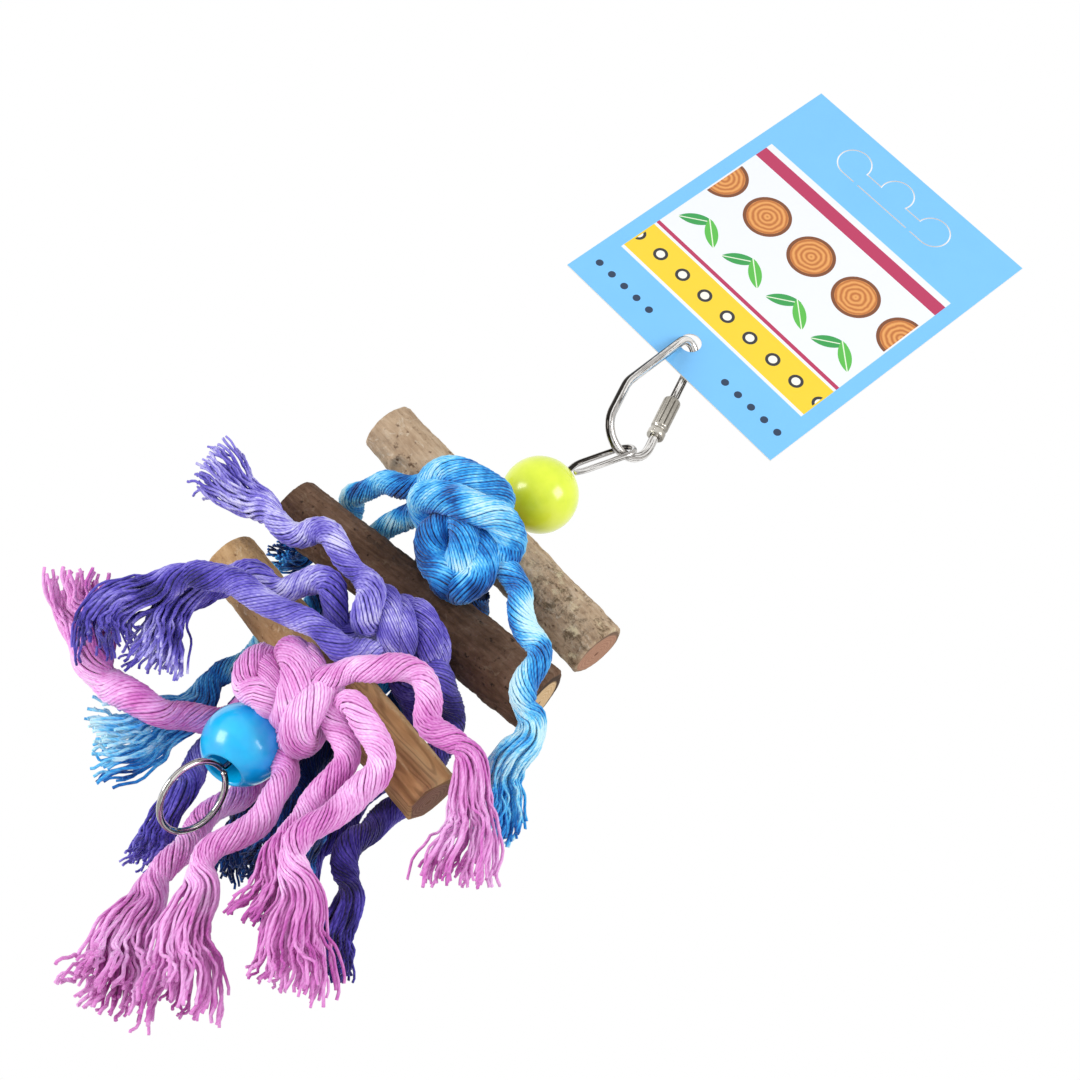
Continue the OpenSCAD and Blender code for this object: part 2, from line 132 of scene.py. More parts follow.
def ramp(factor, stops):
    node = addNode(factor.tree, "ShaderNodeValToRGB", {0: factor})
    points = node.color_ramp.elements
    while len(points) > 1:
        points.remove(points[-1])
    points[0].position, points[0].color = stops[0][0], ink(stops[0][1])
    for place, code in stops[1:]:
        points.new(place).color = ink(code)
    return Value(factor.tree, node.outputs[0])


# A blend of two colours; a colour is a hex code or an output
def mixInk(factor, first, second):
    first, second = (ink(value) if isinstance(value, str) else value for value in (first, second))
    return result(factor.tree, "ShaderNodeMix", {0: factor, 6: first, 7: second}, 2, data_type="RGBA")


def noiseAt(place, scale, detail=4.0, rough=0.55, distort=0.0):
    return result(place.tree, "ShaderNodeTexNoise", {
        "Vector": place, "Scale": scale, "Detail": detail, "Roughness": rough, "Distortion": distort})


def spreadOut(value, low, high, newLow=0.0, newHigh=1.0):
    return result(value.tree, "ShaderNodeMapRange", {
        "Value": value, "From Min": low, "From Max": high, "To Min": newLow, "To Max": newHigh})


def stretched(vector, scale, rotation=(0, 0, 0)):
    return result(vector.tree, "ShaderNodeMapping", {"Vector": vector, "Scale": scale, "Rotation": rotation})


def attribute(tree, name, kind="Fac"):
    return result(tree, "ShaderNodeAttribute", output=kind, attribute_name=name)


def objectPlace(tree):
    return result(tree, "ShaderNodeTexCoord", output="Object")


# A material with one Principled shader; constants go on its own sockets
def newFinish(name, **constants):
    material = bpy.data.materials.new(name)
    material.use_nodes = True
    tree = material.node_tree
    tree.nodes.clear()
    shader = addNode(tree, "ShaderNodeBsdfPrincipled", constants)
    addNode(tree, "ShaderNodeOutputMaterial", {"Surface": Value(tree, shader.outputs[0])})
    return material, tree, shader


def bumped(shader, height, strength, distance):
    feed(shader, "Normal", result(height.tree, "ShaderNodeBump", {
        "Height": height, "Strength": strength, "Distance": distance}))


# Camera, lights, floor and background

view = {
    "lens": 66.667,
    "place": (0.1554, -0.4426, -0.3501),
    "right": (0.7098, -0.0777, 0.7001),
    "up": (-0.6424, -0.4792, 0.5981),
    "back": (0.2890, -0.8743, -0.3901),
}
viewTurn = Matrix((view["right"], view["up"], view["back"])).transposed()
studio = {
    "middle": (0.0, 0.0, -0.16),
    "lamps": [((-0.80, 0.30, 0.52), 0.42, 4.7), ((0.82, 0.10, 0.56), 0.42, 4.3)],  # way, size, power of each
    "lampDistance": 0.95,
    "ambient": 0.63,
    "floorHeight": -0.92,
    "floorHalf": 2.5,
}


def addObject(name, data):
    thing = bpy.data.objects.new(name, data)
    bpy.context.scene.collection.objects.link(thing)
    return thing


def placeCamera():
    data = bpy.data.cameras.new("camera")
    data.lens = view["lens"]
    data.sensor_width = 36
    data.clip_start = 0.01
    camera = addObject("camera", data)
    camera.matrix_world = Matrix.Translation(view["place"]) @ viewTurn.to_4x4()
    bpy.context.scene.camera = camera


def makeLamps():
    middle = Vector(studio["middle"])
    for number, (way, size, power) in enumerate(studio["lamps"]):
        data = bpy.data.lights.new(f"softbox{number}", "AREA")
        data.shape = "SQUARE"
        data.size = size
        data.energy = power
        place = middle + viewTurn @ Vector(way).normalized() * studio["lampDistance"]
        facing = (place - middle).to_track_quat("Z", "Y").to_matrix().to_4x4()
        addObject(f"softbox{number}", data).matrix_world = Matrix.Translation(place) @ facing


# White where the camera or a reflection sees it, dimmer as light on the pieces
def makeWorld():
    world = bpy.data.worlds.new("studio")
    bpy.context.scene.world = world
    world.use_nodes = True
    tree = world.node_tree
    tree.nodes.clear()
    rays = outlets(tree, addNode(tree, "ShaderNodeLightPath"))
    seen = rays["Is Camera Ray"].calc("MAXIMUM", rays["Is Glossy Ray"])
    seen = seen.calc("MAXIMUM", rays["Is Transmission Ray"])
    strength = spreadOut(seen, 0, 1, studio["ambient"], 1)
    light = result(tree, "ShaderNodeBackground", {"Color": (1, 1, 1, 1), "Strength": strength})
    addNode(tree, "ShaderNodeOutputWorld", {"Surface": light})


def makeFloor():
    mesh = bpy.data.meshes.new("floor")
    h, s = studio["floorHeight"], studio["floorHalf"]
    mesh.from_pydata([(-s, -s, h), (s, -s, h), (s, s, h), (-s, s, h)], [], [(0, 1, 2, 3)])
    floor = addObject("floor", mesh)
    material, tree, shader = newFinish("pale_floor", Roughness=0.9)
    mottle = noiseAt(objectPlace(tree), 3, 2)
    feed(shader, "Base Color", ramp(mottle, [(0.3, "#F4F4F3"), (0.7, "#FAFAF9")]))
    mesh.materials.append(material)


placeCamera()
makeLamps()
makeWorld()
makeFloor()
bpy.context.scene.view_settings.view_transform = "Standard"
print("camera, lamps and floor placed")


# Paths, and the yarn tree that turns them into rope

def arcOf(line):
    return np.concatenate([[0], np.cumsum(np.linalg.norm(np.diff(line, axis=0), axis=1))])


# Rows of three numbers, read off at other places along their line
def interpolated(places, along, rows):
    return np.stack([np.interp(places, along, rows[:, k]) for k in range(3)], axis=1)


def evenly(line, step):
    along = arcOf(line)
    places = np.linspace(0, along[-1], max(3, round(along[-1] / step) + 1))
    return interpolated(places, along, line)


# Points every step along a smooth curve through the given ones
def smoothLine(points, step, cuts=24):
    given = np.array(points, float)
    wide = np.vstack([2 * given[0] - given[1], given, 2 * given[-1] - given[-2]])
    out = []
    for i in range(1, len(wide) - 2):
        a, b, c, d = wide[i - 1:i + 3]
        for t in np.linspace(0, 1, cuts, endpoint=False):
            out.append(0.5 * (2 * b + (c - a) * t + (2 * a - 5 * b + 4 * c - d) * t * t
                              + (3 * b - a - 3 * c + d) * t ** 3))
    out.append(given[-1])
    return evenly(np.array(out), step)


# Directions along a line, and one to its side that turns as little as it can
def framesOf(line):
    ahead = np.gradient(line, axis=0)
    ahead /= np.linalg.norm(ahead, axis=1)[:, None]
    side = np.zeros_like(line)
    first = np.cross(ahead[0], (0, 1, 0))
    if np.linalg.norm(first) < 0.2:
        first = np.cross(ahead[0], (1, 0, 0))
    side[0] = first / np.linalg.norm(first)
    for i in range(1, len(line)):
        s = side[i - 1] - ahead[i] * (side[i - 1] @ ahead[i])
        side[i] = s / np.linalg.norm(s)
    return ahead, side


# The line again, with the slow wave that a strand keeps when it is unlaid from its rope
def corkscrew(line, reach, pitch, start, easeIn=0.01):
    ahead, side = framesOf(line)
    up = np.cross(ahead, side)
    along = arcOf(line)
    turn = fullTurn * along / pitch + start
    ease = np.clip(along / easeIn, 0, 1)[:, None]
    return line + ease * reach * (np.cos(turn)[:, None] * side + np.sin(turn)[:, None] * up)


# Stores a number or a vector on each point of a mesh
def addLayer(mesh, name, values):
    values = np.array(values, float)
    kind, key = ("FLOAT", "value") if values.ndim == 1 else ("FLOAT_VECTOR", "vector")
    mesh.attributes.new(name, kind, "POINT").data.foreach_set(key, values.ravel())


# One mesh of open edge chains; each path is a dictionary of equally long columns
def layPaths(name, paths):
    mesh = bpy.data.meshes.new(name)
    points, edges = [], []
    for path in paths:
        start = len(points)
        points += [tuple(p) for p in path["line"]]
        edges += [(i, i + 1) for i in range(start, len(points) - 1)]
    mesh.from_pydata(points, edges, [])
    for key in ("side", "ahead", "arc", "lay", "open", "thick", "tone"):
        addLayer(mesh, key, np.concatenate([path[key] for path in paths]))
    return addObject(name, mesh)


# Yarns laid round each path: named inputs give their number, sizes, twist and how they fray
def makeYarnTree():
    tree = bpy.data.node_groups.new("yarnsRoundPath", "GeometryNodeTree")
    face = tree.interface
    face.new_socket("Paths", in_out="INPUT", socket_type="NodeSocketGeometry")
    for label, kind, value in (
            ("Yarns", "Int", 22), ("Inner yarns", "Int", 0), ("Bundle radius", "Float", 0.0033),
            ("Yarn radius", "Float", 0.0005), ("Turns per metre", "Float", 36), ("Unevenness", "Float", 0.1),
            ("Spread", "Float", 0.0), ("Curl", "Float", 0.0), ("Droop", "Float", 0.0), ("Trim", "Float", 0.0),
            ("Core radius", "Float", 0.0), ("Sides", "Int", 5), ("Seed", "Int", 1)):
        face.new_socket(label, in_out="INPUT", socket_type=f"NodeSocket{kind}").default_value = value
    face.new_socket("Yarn finish", in_out="INPUT", socket_type="NodeSocketMaterial")
    face.new_socket("Yarn mesh", in_out="OUTPUT", socket_type="NodeSocketGeometry")
    given = outlets(tree, addNode(tree, "NodeGroupInput"))

    def stored(name, kind="FLOAT"):
        return result(tree, "GeometryNodeInputNamedAttribute", {"Name": name}, data_type=kind)

    def store(geometry, name, value, kind="FLOAT"):
        return result(tree, "GeometryNodeStoreNamedAttribute", {
            "Geometry": geometry, "Name": name, "Value": value}, data_type=kind, domain="POINT")

    def vector(operation, first, second, slot=1, output=0):
        return result(tree, "ShaderNodeVectorMath", {0: first, slot: second}, output, operation=operation)

    def tube(line, ring, size):
        return result(tree, "GeometryNodeCurveToMesh", {
            "Curve": line, "Profile Curve": ring, "Scale": size, "Fill Caps": True})

    chains = result(tree, "GeometryNodeMeshToCurve", {"Mesh": given["Paths"]})
    copies = outlets(tree, addNode(tree, "GeometryNodeDuplicateElements", {
        "Geometry": chains, "Amount": given["Yarns"] + given["Inner yarns"]}, domain="SPLINE"))
    index = copies["Duplicate Index"]
    clump = (index / 3).calc("FLOOR")  # yarns stray in threes

    def chance(shift, low=0.0, high=1.0, who=index):
        return result(tree, "FunctionNodeRandomValue", {
            2: low, 3: high, "ID": who, "Seed": given["Seed"] + shift * 17}, 1, data_type="FLOAT")

    where = result(tree, "GeometryNodeInputPosition")
    side, ahead = stored("side", "FLOAT_VECTOR"), stored("ahead", "FLOAT_VECTOR")
    arc, opened, thick, lay = stored("arc"), stored("open"), stored("thick"), stored("lay")
    up = vector("CROSS_PRODUCT", ahead, side)
    atLeastOne = given["Yarns"].calc("MAXIMUM", 1)
    inner = index + 0.5 > given["Yarns"]
    place = index / atLeastOne * (1 - inner) + index / given["Inner yarns"].calc("MAXIMUM", 1) * inner
    loose = chance(1, -1, 1) * (given["Unevenness"] / atLeastOne)
    stray = chance(2, -0.45, 0.45, clump) + chance(15, -0.4, 0.4)
    turn = (place + loose + lay * given["Turns per metre"]) * fullTurn + stray * opened
    swell = 1 + chance(3, -1, 1) * (given["Unevenness"] * 0.1)
    wander = (arc * chance(4, 350, 700) + chance(5, 0, 6.28)).calc("SINE") * 0.03
    radius = given["Bundle radius"] * thick * ((1 - inner * 0.5) * (swell + wander))
    wide = chance(6, -0.05, 0.45, clump) + chance(16, 0, 0.55)
    reach = radius + opened ** 1.4 * (given["Spread"] * wide)
    curl = given["Curl"] * opened

    def curled(shift):
        return curl * (arc * chance(shift, 500, 1300) + chance(shift + 1, 0, 6.28)).calc("SINE")

    across = vector("SCALE", side, reach * turn.calc("COSINE") + curled(7), "Scale")
    upward = vector("SCALE", up, reach * turn.calc("SINE") + curled(9), "Scale")
    fall = given["Droop"] * (opened * opened) * chance(11, -0.25, 1)
    down = result(tree, "ShaderNodeCombineXYZ", {2: fall * -1})
    kept = store(copies["Geometry"], "spine", where, "FLOAT_VECTOR")
    for name, value in (("yarnShade", chance(12)), ("yarnArc", arc), ("reach", reach)):
        kept = store(kept, name, value)
    moved = result(tree, "GeometryNodeSetPosition", {
        "Geometry": kept, "Offset": vector("ADD", vector("ADD", across, upward), down)})
    cut = 1 - given["Trim"] * chance(13)
    trimmed = result(tree, "GeometryNodeTrimCurve", {"Curve": moved, 3: cut}, mode="FACTOR")
    ring = result(tree, "GeometryNodeCurvePrimitiveCircle", {
        "Resolution": given["Sides"], "Radius": 1.0}, mode="RADIUS")
    ring = store(ring, "around", where, "FLOAT_VECTOR")
    yarnSize = given["Yarn radius"] * thick
    yarns = tube(trimmed, ring, yarnSize * (1 - opened * chance(14, 0.0, 0.3)))
    away = vector("DISTANCE", where, stored("spine", "FLOAT_VECTOR"), output="Value")
    # how far each yarn's surface stands out of the bundle; the rope finish paints shade where it is low
    yarns = store(yarns, "rise", (away - stored("reach")) / yarnSize)
    core = tube(chains, ring, given["Core radius"] * thick)
    core = result(tree, "GeometryNodeSwitch", {
        "Switch": given["Core radius"] > 0.0, "True": core}, input_type="GEOMETRY")
    both = addNode(tree, "GeometryNodeJoinGeometry")
    for part in (yarns, core):
        tree.links.new(part.socket, both.inputs[0])
    smooth = result(tree, "GeometryNodeSetShadeSmooth", {0: Value(tree, both.outputs[0])})
    real = result(tree, "GeometryNodeRealizeInstances", {0: smooth})
    finished = result(tree, "GeometryNodeSetMaterial", {"Geometry": real, "Material": given["Yarn finish"]})
    addNode(tree, "NodeGroupOutput", {0: finished})
    return tree


yarnTree = makeYarnTree()


# Runs the yarn tree on a source object and keeps the result as a plain mesh object
def growFrom(source, values, name):
    modifier = source.modifiers.new("grow", "NODES")
    modifier.node_group = yarnTree
    sockets = {item.name: item.identifier for item in yarnTree.interface.items_tree if item.in_out == "INPUT"}
    for label, value in values.items():
        if label in sockets:
            modifier[sockets[label]] = value
    bpy.context.view_layer.update()
    ready = source.evaluated_get(bpy.context.evaluated_depsgraph_get())
    mesh = bpy.data.meshes.new_from_object(ready)
    mesh.name = name
    for layer in ("side", "ahead", "arc", "lay", "thick", "spine", "reach"):
        if layer in mesh.attributes:
            mesh.attributes.remove(mesh.attributes[layer])
    bpy.data.objects.remove(source)
    return addObject(name, mesh)


# Puts a finished piece on its body and, if it stands for a CAD node, in that node's place
def handOver(piece, body, node=None):
    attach(piece, body)
    if node:
        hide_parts(node)


# Rope finishes

plyPitch = 0.0024  # length of one turn of a yarn's own ply


# Dyed cotton: patches of dye along the strand, a shade per yarn, and each yarn's own ply
def ropeFinish(name, stops, patch, contrast):
    material, tree, shader = newFinish(name, **{
        "Roughness": 0.86, "Sheen Weight": 0.35, "Sheen Roughness": 0.5, "Specular IOR Level": 0.2})
    place = objectPlace(tree)
    dye = spreadOut(noiseAt(place, patch, 2, 0.5, 0.6), 0.32, 0.68, -contrast, contrast)
    fine = spreadOut(noiseAt(place, 900, 2), 0.3, 0.7, -0.07, 0.07)
    shade = spreadOut(attribute(tree, "yarnShade"), 0, 1, -0.1, 0.1)
    across, upward, _ = parts(attribute(tree, "around", "Vector"))
    wind = attribute(tree, "yarnArc") * (fullTurn / plyPitch)
    ply = abs(across * wind.calc("COSINE") + upward * wind.calc("SINE"))
    groove = spreadOut(attribute(tree, "rise"), 0.1, 0.9, -0.23, 0.07)  # painted shade: darker where a yarn's surface lies deep between the yarns
    level = attribute(tree, "tone") + dye + (fine + shade) + spreadOut(ply, 0, 1, -0.09, 0.05)
    # the painted shade between the yarns fades out where the strand frays open
    feed(shader, "Base Color", ramp(level + groove * (1 - attribute(tree, "open")), stops))
    bumped(shader, ply + noiseAt(place, 5200, 2) * 0.5, 0.4, 0.00014)
    return material


ropeInks = {
    "blue": ropeFinish("blue_cotton", [
        (0.0, "#082C62"), (0.2, "#0F519E"), (0.38, "#1B7CCE"), (0.55, "#37A9F0"), (0.75, "#74D0FA"),
        (1.0, "#CCF4FF")], 62, 0.48),
    "purple": ropeFinish("purple_cotton", [
        (0.0, "#241C66"), (0.28, "#473BA4"), (0.52, "#695CC8"), (0.76, "#958BE2"),
        (1.0, "#D6D2FB")], 75, 0.4),
    "pink": ropeFinish("pink_cotton", [
        (0.0, "#AA4A9E"), (0.24, "#D067C0"), (0.5, "#E898DC"), (0.75, "#F7BAF2"),
        (1.0, "#FFE0FD")], 70, 0.28),
}


# Ropes: knots, strands and their frayed ends

# Routes follow part.scad's with a few more bends, in millimetres from the middle of each knot
ropes = {
    "blue": [
        [(11, -12, 4.5), (16.5, -15.5, 3), (20.5, -16.5, 0.5), (23.5, -16.5, -2.5), (28.5, -16, -4.5),
         (34, -17, -6), (36.5, -17, -9.5), (38.5, -16, -14.5), (42, -15, -18), (45.5, -13, -19.5),
         (47.5, -11.5, -23.5), (48.5, -10, -28.5), (50.5, -8.5, -33), (54, -6.5, -38), (60, -3.5, -45)],
        [(-13, -16.5, 10), (-17, -14, 6), (-22, -8.5, 2.5), (-28.5, -5, 0.5), (-32.5, 2.5, -2),
         (-33, 11, -5.5), (-34.5, 17, -13), (-36, 16.5, -20), (-39, 12.5, -24)],
        [(-9.5, -12, 4.5), (-16.5, -2, 2.5), (-21.5, 3.5, -1), (-22.5, 12, -5.5), (-23, 17, -14.5),
         (-22.5, 17.5, -27.5), (-22.5, 16.5, -45.5), (-22, 14, -60), (-20.5, 12, -75), (-27.5, 8, -94)],
        [(0, 5, 1), (2, 16, -6), (4, 18, -30), (11, 18, -60), (23, 9, -86)],
        [(-8, 4, 1), (-8, 15, -6), (-5, 18, -30), (2, 23, -68), (17, 20, -88)],
        [(8, 4, 1), (11, 15, -6), (12, 18, -28), (17, 12, -58), (31, 0, -81)],
    ],
    "purple": [
        [(3, -10, -1), (2.5, -18.5, -3), (-1.5, -20.5, 1), (-8, -20, 3.5), (-15, -19.5, 4.5),
         (-22.5, -18.5, 4.5), (-27.5, -16, 1), (-36, -14.5, 0), (-48, -12.5, 0), (-57.5, -10.5, -1.5)],
        [(9, -13.5, -6.5), (4.5, -17.5, -11.5), (-2.5, -20.5, -14.5), (-11, -21.5, -16),
         (-19, -20.5, -19.5), (-26.5, -21.5, -20.5), (-32, -20.5, -24), (-36.5, -17, -30),
         (-42, -13, -37.5), (-41, -12.5, -46), (-36, -12, -51)],
        [(-3, -12, -8.5), (-6, -15.5, -5), (-11, -17, -3.5), (-16, -16, -7), (-20, -14, -11.5),
         (-26.5, -14, -14), (-31, -11.5, -20.5), (-33.5, -9.5, -29), (-31, -9.5, -38), (-25.5, -8, -44.5)],
        [(17, -10.5, 3), (24, -3.5, 3), (30, 10, -3), (32.5, 16.5, -18.5), (33.5, 8, -36.5), (42, 5.5, -46),
         (49, 5.5, -55.5), (54, 6, -63)],
        [(-6, 3, -1), (-13, 12, -3), (-13, 16, -14), (-13.5, 18.5, -33), (-6, 14, -56), (-2, 15, -65.5),
         (1, 14.5, -75)],
        [(12, 2, -1), (20, 12, -4), (23, 18, -18), (28, 15, -44), (36, 13, -62)],
    ],
    "pink": [
        [(-7, 1, -2), (-11, 9, -8), (-13.5, 8, -15), (-17, 4, -19), (-23, 0.5, -23.5), (-31, -0.5, -27),
         (-39.5, -2, -25.5), (-49, -2, -21), (-58.5, -3, -13.5)],
        [(5, -15.5, 5), (9, -18.5, 9.5), (13.5, -21, 14), (17.5, -23.5, 19), (22.5, -22.5, 20.5),
         (27.5, -20.5, 18.5), (31.5, -18.5, 16), (37, -18, 16.5), (43, -17.5, 16), (48.5, -16.5, 12.5),
         (53.5, -14, 7), (62.5, -11, -5.5)],
        [(12.5, -12.5, 4.5), (16, -18, 6), (22, -19, 5.5), (28, -19.5, 2.5), (32.5, -18, -2),
         (33, -17, -8.5), (32, -18, -15), (31.5, -17.5, -21.5), (33.5, -16.5, -27.5), (37, -15, -31),
         (42, -13.5, -33.5), (46, -11.5, -38), (53.5, -6.5, -48)],
        [(6.5, -11, 6), (12, -13.5, 3.5), (18.5, -14, 0), (23, -12.5, -3), (25.5, -11.5, -8.5),
         (25, -10, -15), (27, -10.5, -22.5), (31, -10.5, -30.5), (37.5, -8.5, -42.5)],
        [(5.5, 0, -6), (11, -2.5, -11), (16, -5, -17.5), (19, -6, -23.5), (17.5, -6, -30),
         (16.5, -5, -35.5), (17.5, -4.5, -40.5), (21, -5, -45), (25, -4.5, -51.5), (39, -3, -67)],
        [(3, 5, -1), (4, 13.5, -4), (4, 14.5, -16.5), (4, 12.5, -25), (6, 8.5, -35.5), (9.5, 5.5, -46.5),
         (14, 3.5, -59), (27, -2, -78)],
    ],
}
knotHeight = {"blue": -0.03075, "purple": -0.0592, "pink": -0.0856}
knotTone = {"blue": 0.57, "purple": 0.5, "pink": 0.62}
tones = {  # how pale each strand is
    "blue": (0.8, 0.5, 0.66, 0.16, 0.1, 0.3),
    "purple": (0.66, 0.5, 0.58, 0.24, 0.4, 0.28),
    "pink": (0.62, 0.66, 0.66, 0.6, 0.66, 0.6),
}
frayed = {  # length of each frayed end, how wide it opens, how far it droops and how its tone shifts
    "blue": ((0.034, 0.0065, 0.0, 0.02), (0.013, 0.003, 0.0, 0.0), (0.036, 0.0125, 0.001, -0.04),
             (0.02, 0.005, 0.002, 0.0), (0.02, 0.005, 0.002, 0.0), (0.022, 0.004, 0.002, 0.1)),
    "purple": ((0.022, 0.0085, -0.001, 0.08), (0.03, 0.0085, 0.003, -0.11), (0.024, 0.0085, 0.004, -0.11),
               (0.022, 0.003, 0.0, 0.0), (0.022, 0.004, 0.002, 0.15), (0.02, 0.004, 0.002, 0.0)),
    "pink": ((0.026, 0.0115, -0.001, -0.14), (0.032, 0.012, 0.0, -0.14), (0.03, 0.013, 0.001, -0.21),
             (0.018, 0.009, 0.002, -0.36), (0.033, 0.0145, 0.001, -0.22), (0.034, 0.0145, 0.001, -0.22)),
}
swells = {  # where a strand bulges or necks: distance along it, how much, and over what length
    "purple": (((0.011, 0.2, 0.007), (0.0235, -0.22, 0.003)), ((0.006, 0.16, 0.006), (0.0165, -0.2, 0.003),
               (0.046, 0.12, 0.006)), ((0.012, 0.1, 0.006),), (), (), ()),
    "blue": ((), ((0.024, -0.1, 0.005),), ((0.14, 0.3, 0.025),), (), (), ()),
    "pink": (((0.062, 0.42, 0.03),), ((0.085, 0.12, 0.02),), ((0.03, 0.1, 0.012), (0.09, 0.2, 0.02)), (),
             ((0.09, 0.32, 0.028),), ((0.09, 0.32, 0.028),)),
}
strand = {
    "Yarns": 20, "Inner yarns": 0, "Bundle radius": 0.00285, "Yarn radius": 0.0004, "Turns per metre": -50,
    "Unevenness": 0.22, "Core radius": 0.0026, "Sides": 5,
    "thickness": 0.0074, "step": 0.0014, "wave": 0.0008, "pitch": 0.019, "waveShift": 1.7,
    "pulse": 0.05, "neck": 0.45,  # how much it bulges with the wave, and thins into the fringe
    "shortest": 0.047,  # the least length that stays laid
    "rootLength": 0.011, "rootTone": {"blue": 0.0, "purple": -0.08, "pink": -0.26},
}
fringe = {
    "Yarns": 34, "Inner yarns": 40, "Bundle radius": 0.0028, "Yarn radius": 0.0004, "Turns per metre": -50,
    "Unevenness": 0.8, "Curl": 0.0005, "Trim": 0.2, "Core radius": 0.0, "Sides": 5, "step": 0.0012,
    "earliest": 0.02, "overlap": 0.004, "tuck": 0.22,  # it comes out from under the strand
    "untwist": 0.012, "leastTwist": 0.06,  # the twist dies out over this length, down to this share
}


# What the yarn tree reads along one path; a single number goes for the whole path
def columns(line, ahead, side, arc, lay, **rest):
    spread = {key: np.broadcast_to(value, len(line)) for key, value in rest.items()}
    return {"line": line, "ahead": ahead, "side": side, "arc": arc, "lay": lay, **spread}


# One unlaid strand in place of its CAD node, with its frayed end as a piece on it
def makeStrand(colour, number, route):
    name = f"{colour}_strand_{number}"
    tone = tones[colour][number - 1]
    frayLength, spread, droop, shift = frayed[colour][number - 1]
    start = np.array(stemAt) + (0, 0, knotHeight[colour])
    line = smoothLine(start + np.array(route) / 1000, strand["step"])
    line = corkscrew(line, strand["wave"], strand["pitch"], strand["waveShift"] * number)
    ahead, side = framesOf(line)
    arc = arcOf(line)
    laidLength = max(arc[-1] - frayLength, strand["shortest"])
    fringeStart = max(arc[-1] - frayLength, fringe["earliest"]) - fringe["overlap"]
    fat = 1 + strand["pulse"] * np.sin(arc * fullTurn / strand["pitch"] + number)
    for place, amount, length in swells[colour][number - 1]:
        fat += amount * np.exp(-((arc - place) / length) ** 2)
    ending = np.clip((arc - fringeStart) / max(laidLength - fringeStart, fringe["overlap"]), 0, 1)
    narrow = fat * (1 - strand["neck"] * ending)
    # tone along the strand: darker over its first rootLength next to the knot
    dye = tone + strand["rootTone"][colour] * np.exp(-(arc / strand["rootLength"]) ** 2)
    keep = arc <= laidLength + 1e-9
    body = layPaths(name + "_path", [columns(
        line[keep], ahead[keep], side[keep], arc[keep], arc[keep],
        open=0.0, thick=narrow[keep], tone=dye[keep])])
    piece = growFrom(body, {**strand, "Seed": number * 7 + len(colour), "Yarn finish": ropeInks[colour]},
                     name + "_yarns")

    tail = arc >= fringeStart
    tailArc = arcOf(line[tail])
    fine = evenly(line[tail], fringe["step"])
    fineArc = arcOf(fine)
    opened = np.clip(fineArc / fineArc[-1], 0, 1)
    twist = np.clip(1 - fineArc / fringe["untwist"], fringe["leastTwist"], 1)
    lay = arc[tail][0] + np.concatenate([[0], np.cumsum(np.diff(fineArc) * twist[1:])])
    emerging = 1 - fringe["tuck"] * np.clip(1 - fineArc / fringe["overlap"], 0, 1)
    end = layPaths(name + "_end_path", [columns(
        fine, interpolated(fineArc, tailArc, ahead[tail]), interpolated(fineArc, tailArc, side[tail]),
        fineArc + arc[tail][0], lay, open=opened,
        thick=np.interp(fineArc, tailArc, fat[tail]) * emerging, tone=tone + shift * opened)])
    brush = growFrom(end, {**fringe, "Spread": spread, "Droop": droop, "Seed": number * 13 + len(colour),
                           "Yarn finish": ropeInks[colour]}, name + "_frayed_end")

    handOver(piece, "stem", name)
    handOver(brush, "stem")


for colour, routes in ropes.items():
    for number, route in enumerate(routes, 1):
        makeStrand(colour, number, route)
print("strands and frayed ends laid")

# Lobes of each knot, in millimetres from the middle of the knot: radius, then the points
knots = {
    "blue": [
        (3.9, [(-15, -14.5, 6), (-13.5, -20, 9), (-9.5, -22, 11), (-5, -21, 13), (0, -17, 15)]),
        (4.3, [(-13, -15.5, 1.5), (-7, -21, 4), (0.5, -23, 6), (6, -22.5, 8.5), (10, -17.5, 8.5),
               (11, -14, 5)]),
        (4.4, [(-5, -12.5, 1.5), (-4, -15, -4.5), (0.5, -13.5, -7.5), (6.5, -13.5, -8.5)]),
        (4.1, [(-2.5, -15.5, 4.5), (3, -18.5, 0), (6, -15, -5)]),
        (4.4, [(1, -14, 6.5), (7, -16, 2.5), (11, -15.5, -3), (10.5, -14.5, -7.5)]),
    ],
    "purple": [
        (4.2, [(1, -12, 1.5), (5, -11, -2), (8, -9.5, -6)]),
        (3.6, [(6, -10, -3.5), (0, -11.5, -8)]),
        (3.3, [(-0.5, -14, 5.5), (5, -18.5, 2), (8.5, -16, -1.5), (10.5, -8.5, -3.5)]),
        (2.8, [(3.5, -13.5, 6.5), (9, -18, 3), (12, -14.5, 0.5), (12, -8, -1.5)]),
        (2.6, [(3.5, -12.5, 8), (8.5, -15, 7), (11, -12, 4.5), (11.5, -6.5, 2.5)]),
        (3.4, [(7.5, -14, 8.5), (12.5, -15, 7), (16, -12.5, 4.5), (16.5, -4.5, 2)]),
        (2.6, [(11.5, -11.5, 9), (16.5, -11.5, 7.5), (18.5, -7.5, 4.5)]),
    ],
    "pink": [
        (3.9, [(-10, -8.5, 2), (-9.5, -11, -3), (-6.5, -9.5, -6), (-1, -12.5, -5.5)]),
        (2.9, [(-8.5, -10, 1), (-3, -13, -2), (2, -11, -4.5)]),
        (4.3, [(-5.5, -12.5, 6.5), (-0.5, -16, 4), (3, -15.5, 0.5), (4.5, -10.5, -4)]),
        (3.4, [(-2, -13.5, 8), (3, -15.5, 6), (5.5, -13, 3)]),
        (4.6, [(6.5, -11, 6.5), (8.5, -15, 2), (9.5, -15.5, -3), (10.5, -12.5, -6), (11, -7.5, -6)]),
        (3.0, [(10.5, -6.5, -0.5), (12.5, -7, -3.5), (11.5, -5, -5.5)]),
    ],
}
